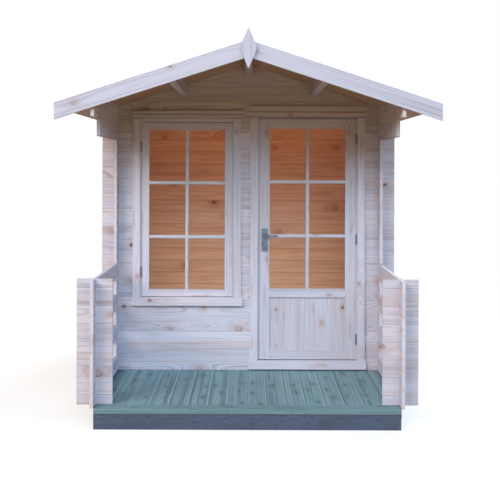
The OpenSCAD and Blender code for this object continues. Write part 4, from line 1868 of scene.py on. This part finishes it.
@dataclass(frozen=True)
class Fixings:
    """Hinges, screws and nails.

    Attributes:
        screw: radius of a deck screw's head.
        plate_screw: radius of a handle plate's screw head.
        nail: radius of a nail's head.
        clout: radius of a felt nail's head.
        flat: height of a deck screw's or a nail's head.
        joist: thickness of a joist.
        end_zone: length at the boards' front ends that a row of screws keeps clear of.
        row_inset: distance of the cross board's outer screws from its ends.
        nosing_inset: distance of its screws from its front edge.
        plate_inset: distance of a plate's screws from its ends.
        barge_insets: distances of a barge board's outer nails from the ridge and from the eaves.
        barge_rows: heights of its two rows of nails, as shares of its height.
        felt_end: distance of the felt's outer nails from its ends.
        felt_inset: distance of the felt's nails from the edge of a strip.
        eaves_inset: distance of the lowest nails from the eaves.
    """

    screw: float = 0.0042
    plate_screw: float = 0.0046
    nail: float = 0.0028
    clout: float = 0.0052
    flat: float = 0.0004
    joist: float = 0.045
    end_zone: float = 0.02
    row_inset: float = 0.04
    nosing_inset: float = 0.026
    plate_inset: float = 0.013
    barge_insets: tuple[float, float] = (0.12, 0.07)
    barge_rows: tuple[float, float] = (0.28, 0.74)
    felt_end: float = 0.05
    felt_inset: float = 0.022
    eaves_inset: float = 0.03

    def build(self, shop: Workshop, floor: Floor, roof: Roof) -> None:
        """Builds the screws and nails and gives the hinges their finish.

        Args:
            shop: the workshop, which puts pieces into the scene.
            floor: the floor, for its boards.
            roof: the roof, for its slope.
        """
        iron, zinc = IRON.dress(), ZINC.dress()
        for node in ("window_hinges", "door_hinge_frame_side", "door_hinge_leaf_side"):
            shop.finish(node, iron)
        self.build_deck_screws(shop, floor, zinc)
        self.build_plate_screws(shop)
        self.build_barge_nails(shop, roof, WASHED.dress())
        self.build_felt_nails(shop, roof, zinc)

    def head(self, radius: float, rise: float) -> np.ndarray:
        """Draws a low domed head with a small recess in its middle, from just under the surface.

        Args:
            radius: radius of the head.
            rise: height of the head.

        Returns:
            Points (r, h) of the profile.
        """
        return np.array([
            [radius, -0.0006], [radius, 0.15 * rise], [radius * 0.86, 0.70 * rise], [radius * 0.60, rise],
            [radius * 0.42, rise], [radius * 0.30, 0.3 * rise],
        ])

    def build_deck_screws(self, shop: Workshop, floor: Floor, metal: bpy.types.Material) -> None:
        """Builds two screws in each deck board over each joist, and a row in the cross board.

        Args:
            shop: the workshop, which puts pieces into the scene.
            floor: the floor.
            metal: finish of the screws.
        """
        low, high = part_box("deck_boards")
        front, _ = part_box("deck_nosing")
        first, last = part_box("floor_joists")
        joists = np.linspace(first.y + self.joist / 2, last.y - self.joist / 2, floor.joists)
        joists = joists + np.where(joists < low.y + self.end_zone, self.joist / 4, 0.0)
        edges = floor.lines()
        pairs = np.concatenate([edges[:-1] + floor.screw_inset, edges[1:] - floor.screw_inset])
        across, along = np.meshgrid(pairs, joists, indexing="ij")
        row = np.linspace(low.x + self.row_inset, high.x - self.row_inset, 9)
        boards, nosing = points(across, along, high.z), points(row, front.y + self.nosing_inset, high.z)
        places = np.concatenate([boards, nosing])
        solid = turned(self.head(self.screw, self.flat), places, (0, 0, 1), 12)
        shop.piece("deck_screws", solid, CABIN, metal, (), BLEND_ANGLE)

    def build_plate_screws(self, shop: Workshop) -> None:
        """Builds the two screws of each handle plate.

        Args:
            shop: the workshop, which puts pieces into the scene.
        """
        low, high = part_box("door_handle_plates")
        x = halfway("door_handle_plates", Axis.X)
        heights = np.array([low.z + self.plate_inset, high.z - self.plate_inset])
        head = self.head(self.plate_screw, 0.0014)
        parts = []
        for face in Face:
            places = points(x, face.plane(low, high), heights)
            parts.append(turned(head, places, (0, face.value, 0), 20))
        solid = Solid.joined(parts)
        shop.piece("handle_screws", solid, DOOR, PEWTER.dress(), (), BLEND_ANGLE)

    def build_barge_nails(self, shop: Workshop, roof: Roof, metal: bpy.types.Material) -> None:
        """Builds the nails of the barge boards, in pairs down each slope.

        Args:
            shop: the workshop, which puts pieces into the scene.
            roof: the roof.
            metal: finish of the nails.
        """
        low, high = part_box("front_right_barge")
        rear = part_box("rear_right_barge")[1].y
        first, last = self.barge_insets
        out = np.linspace(first, high.x - last, 6)
        fall = high.z - out * math.tan(roof.pitch)
        deep = high.z - high.x * math.tan(roof.pitch) - low.z
        upper, lower = (fall - deep * share for share in self.barge_rows)
        x = np.concatenate([out, out, -out, -out])
        z = np.concatenate([upper, lower, upper, lower])
        head = self.head(self.nail, self.flat)
        parts = []
        for face, y in ((Face.OUTSIDE, low.y), (Face.INSIDE, rear)):
            parts.append(turned(head, points(x, y, z), (0, face.value, 0), 10))
        shop.piece("barge_nails", Solid.joined(parts), CABIN, metal, (), BLEND_ANGLE)

    def build_felt_nails(self, shop: Workshop, roof: Roof, metal: bpy.types.Material) -> None:
        """Builds the broad nails at the ridge cap's edges, along the felt's lap and above the eaves.

        Args:
            shop: the workshop, which puts pieces into the scene.
            roof: the roof.
            metal: finish of the nails.
        """
        low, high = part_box("right_roof_felt")
        reach = high.x - low.x
        thick = high.z - low.z - reach * math.tan(roof.pitch)
        y = np.linspace(low.y + self.felt_end, high.y - self.felt_end, 33)
        rows = (
            (roof.cap - self.felt_inset, thick * 2.6),
            (reach * 0.5 - self.felt_inset, thick * 1.95),
            (reach - self.eaves_inset, thick),
        )
        head = self.head(self.clout, 0.0009)
        parts = []
        for side in Side:
            normal = (side.value * math.sin(roof.pitch), 0.0, math.cos(roof.pitch))
            for out, lift in rows:
                level = high.z - thick - out * math.tan(roof.pitch) + lift
                parts.append(turned(head, points(side.value * out, y, level), normal, 10))
        shop.piece("felt_nails", Solid.joined(parts), CABIN, metal, (), BLEND_ANGLE)


@dataclass(frozen=True)
class Lamp:
    """A soft rectangular lamp that doesn't show itself.

    Attributes:
        name: its name.
        place: its place.
        aim: the point that it looks at.
        size: its width and height.
        power: its power in watts.
        colour: its colour.
        spread: angle of its light in degrees.
    """

    name: str
    place: Vector
    aim: Vector
    size: tuple[float, float]
    power: float
    colour: Colour
    spread: float = 180.0

    @classmethod
    def around(cls, name: str, azimuth: float, elevation: float, *rest: object) -> "Lamp":
        """Makes a lamp far from the cabin, from its direction in degrees.

        Args:
            name: its name.
            azimuth: 0 is in front of the cabin, 90 on its right.
            elevation: 0 is level, 90 overhead.
            rest: the size, the power and the colour.

        Returns:
            The lamp, which looks at the porch.
        """
        turn, rise = math.radians(azimuth), math.radians(elevation)
        way = Vector((math.sin(turn) * math.cos(rise), -math.cos(turn) * math.cos(rise), math.sin(rise)))
        return cls(name, PORCH + way * LAMP_DISTANCE, PORCH, *rest)

    def build(self) -> None:
        """Puts the lamp into the scene."""
        data = bpy.data.lights.new(self.name, "AREA")
        data.shape = "RECTANGLE"
        data.size, data.size_y = self.size
        data.energy = self.power
        data.color = self.colour
        data.spread = math.radians(self.spread)
        made = bpy.data.objects.new(self.name, data)
        made.location = self.place
        made.rotation_mode = "QUATERNION"
        made.rotation_quaternion = (self.aim - self.place).to_track_quat("-Z", "Y")
        made.visible_camera = False
        made.visible_glossy = False
        made.visible_transmission = False
        bpy.context.scene.collection.objects.link(made)


PORCH = Vector((0.0, -0.5, 1.0))
LAMP_DISTANCE = 16.0
ROOM_LAMP = (1.7, 0.3)
WHITE = (1.0, 1.0, 1.0)
LAMPS = (
    Lamp.around("key", -40.0, 33.0, (10.0, 6.5), 1900.0, (0.98, 0.91, 0.87)),
    Lamp.around("front", 10.0, 26.0, (10.0, 5.0), 1140.0, (0.58, 0.82, 1.0)),
    Lamp.around("sky", 54.0, 30.0, (8.0, 5.0), 636.0, (0.46, 0.68, 1.0)),
    Lamp.around("rear", 155.0, 38.0, (9.0, 6.0), 1800.0, (0.86, 0.92, 1.0)),
    Lamp(
        "room", Vector((0.0, -0.3, 0.9)), Vector((0.0, 1.5, 0.35)), ROOM_LAMP,
        power=10.9, colour=(0.50, 0.72, 1.0), spread=90.0,
    ),
    Lamp(
        "rafters", Vector((0.0, -0.3, 1.7)), Vector((0.0, 1.5, 2.0)), ROOM_LAMP,
        power=4.5, colour=(1.0, 0.76, 0.54), spread=120.0,
    ),
)


@dataclass(frozen=True)
class Studio:
    """Floor, soft lights, pale world and the camera.

    Attributes:
        eye: place of the camera.
        lens: focal length for a picture 36 mm wide.
        shift: vertical shift of the picture.
        roll: turn of the picture in degrees.
        floor: half the width of the floor.
        sunk: depth of the floor under the object.
        clear: distances between which the floor turns white.
    """

    eye: tuple[float, float, float] = (0.0117, -7.6586, 1.6622)
    lens: float = 68.88
    shift: float = -0.168
    roll: float = -0.195
    floor: float = 60.0
    sunk: float = 0.0005
    clear: tuple[float, float] = (2.2, 4.5)

    def build(self) -> None:
        """Builds the studio."""
        self.build_camera()
        self.build_world()
        self.build_floor()
        for lamp in LAMPS:
            lamp.build()

    def build_camera(self) -> None:
        """Makes the camera, level and looking along +Y."""
        data = bpy.data.cameras.new("camera")
        data.lens = self.lens
        data.shift_y = self.shift
        camera = bpy.data.objects.new("camera", data)
        camera.location = self.eye
        camera.rotation_euler = (math.radians(90.0), math.radians(self.roll), 0.0)
        bpy.context.scene.collection.objects.link(camera)
        bpy.context.scene.camera = camera

    def seen(self, sheet: Sheet) -> Field:
        """Returns 1 for what the camera, a reflection or a pane shows, and 0 for other light."""
        return sheet.ray("Camera").most(sheet.ray("Glossy")).most(sheet.ray("Transmission"))

    def build_world(self) -> None:
        """Makes a world that looks white and lights the object softly."""
        sheet = Sheet(bpy.data.worlds.new("pale_world"))
        soft = sheet.node("ShaderNodeBackground", {}, {"Color": (0.92, 0.68, 0.34), "Strength": 0.2})
        white = sheet.node("ShaderNodeBackground", {}, {"Color": WHITE, "Strength": 1.0})
        mixed = sheet.either(self.seen(sheet), soft, white)
        bpy.context.scene.world = sheet.finish(mixed, "ShaderNodeOutputWorld")

    def build_floor(self) -> None:
        """Makes a wide pale floor that keeps the object's shadow."""
        sheet = Sheet.blank("pale_floor")
        dim = sheet.node("ShaderNodeBsdfDiffuse", {}, {"Color": (0.36, 0.23, 0.11)})
        pale = sheet.node("ShaderNodeBsdfDiffuse", {}, {"Color": (0.62, 0.62, 0.63)})
        glow = sheet.node("ShaderNodeEmission", {}, {"Color": WHITE, "Strength": 0.5})
        lit = sheet.node("ShaderNodeAddShader", {}, {0: pale, 1: glow})
        white = sheet.node("ShaderNodeEmission", {}, {"Color": WHITE, "Strength": 1.0})
        x, y, _ = sheet.place()
        away = (x * x + y * y).root().ramp(*self.clear)
        shown = sheet.either(away, lit, white)
        material = sheet.finish(sheet.either(self.seen(sheet), dim, shown))
        span = np.linspace(-self.floor, self.floor, 5)
        x, y = np.meshgrid(span, span, indexing="ij")
        mesh = Solid(points(x, y, -self.sunk), grid_faces(x.shape)).mesh("studio_floor")
        mesh.materials.append(material)
        floor = bpy.data.objects.new("studio_floor", mesh)
        bpy.context.scene.collection.objects.link(floor)


def main() -> None:
    """Builds the cabin's looks and the studio, in order."""
    logging.basicConfig(level=logging.INFO, format="%(message)s")
    bpy.context.scene.view_settings.view_transform = "Standard"
    wall_low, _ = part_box("left_wall")
    front_low, front_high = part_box("front_gable")
    log_thick = front_high.y - front_low.y
    half = -wall_low.x - log_thick / 2
    room = Room(half, halfway("front_gable", Axis.Y), halfway("back_gable", Axis.Y))
    shop = Workshop()
    floor, roof = Floor(), Roof()
    Studio().build()
    LogWalls(course=0.115, floor=wall_low.z).dress(shop, room)
    floor.build(shop, room)
    roof.build(shop, room)
    Joinery().build(shop, room)
    for opening in (WINDOW, DOORWAY):
        Glazing(opening).build(shop, room)
    Seals("window_sash", 0.004, Side.LEFT, hinge=0.182, middle=False, clearance=0.0006).build(shop, room)
    Seals("door_leaf", 0.0065, Side.RIGHT, hinge=0.150, middle=True, clearance=0.0014).build(shop, room)
    Handle().build(shop)
    Fixings().build(shop, floor, roof)


if __name__ == "__main__":
    main()
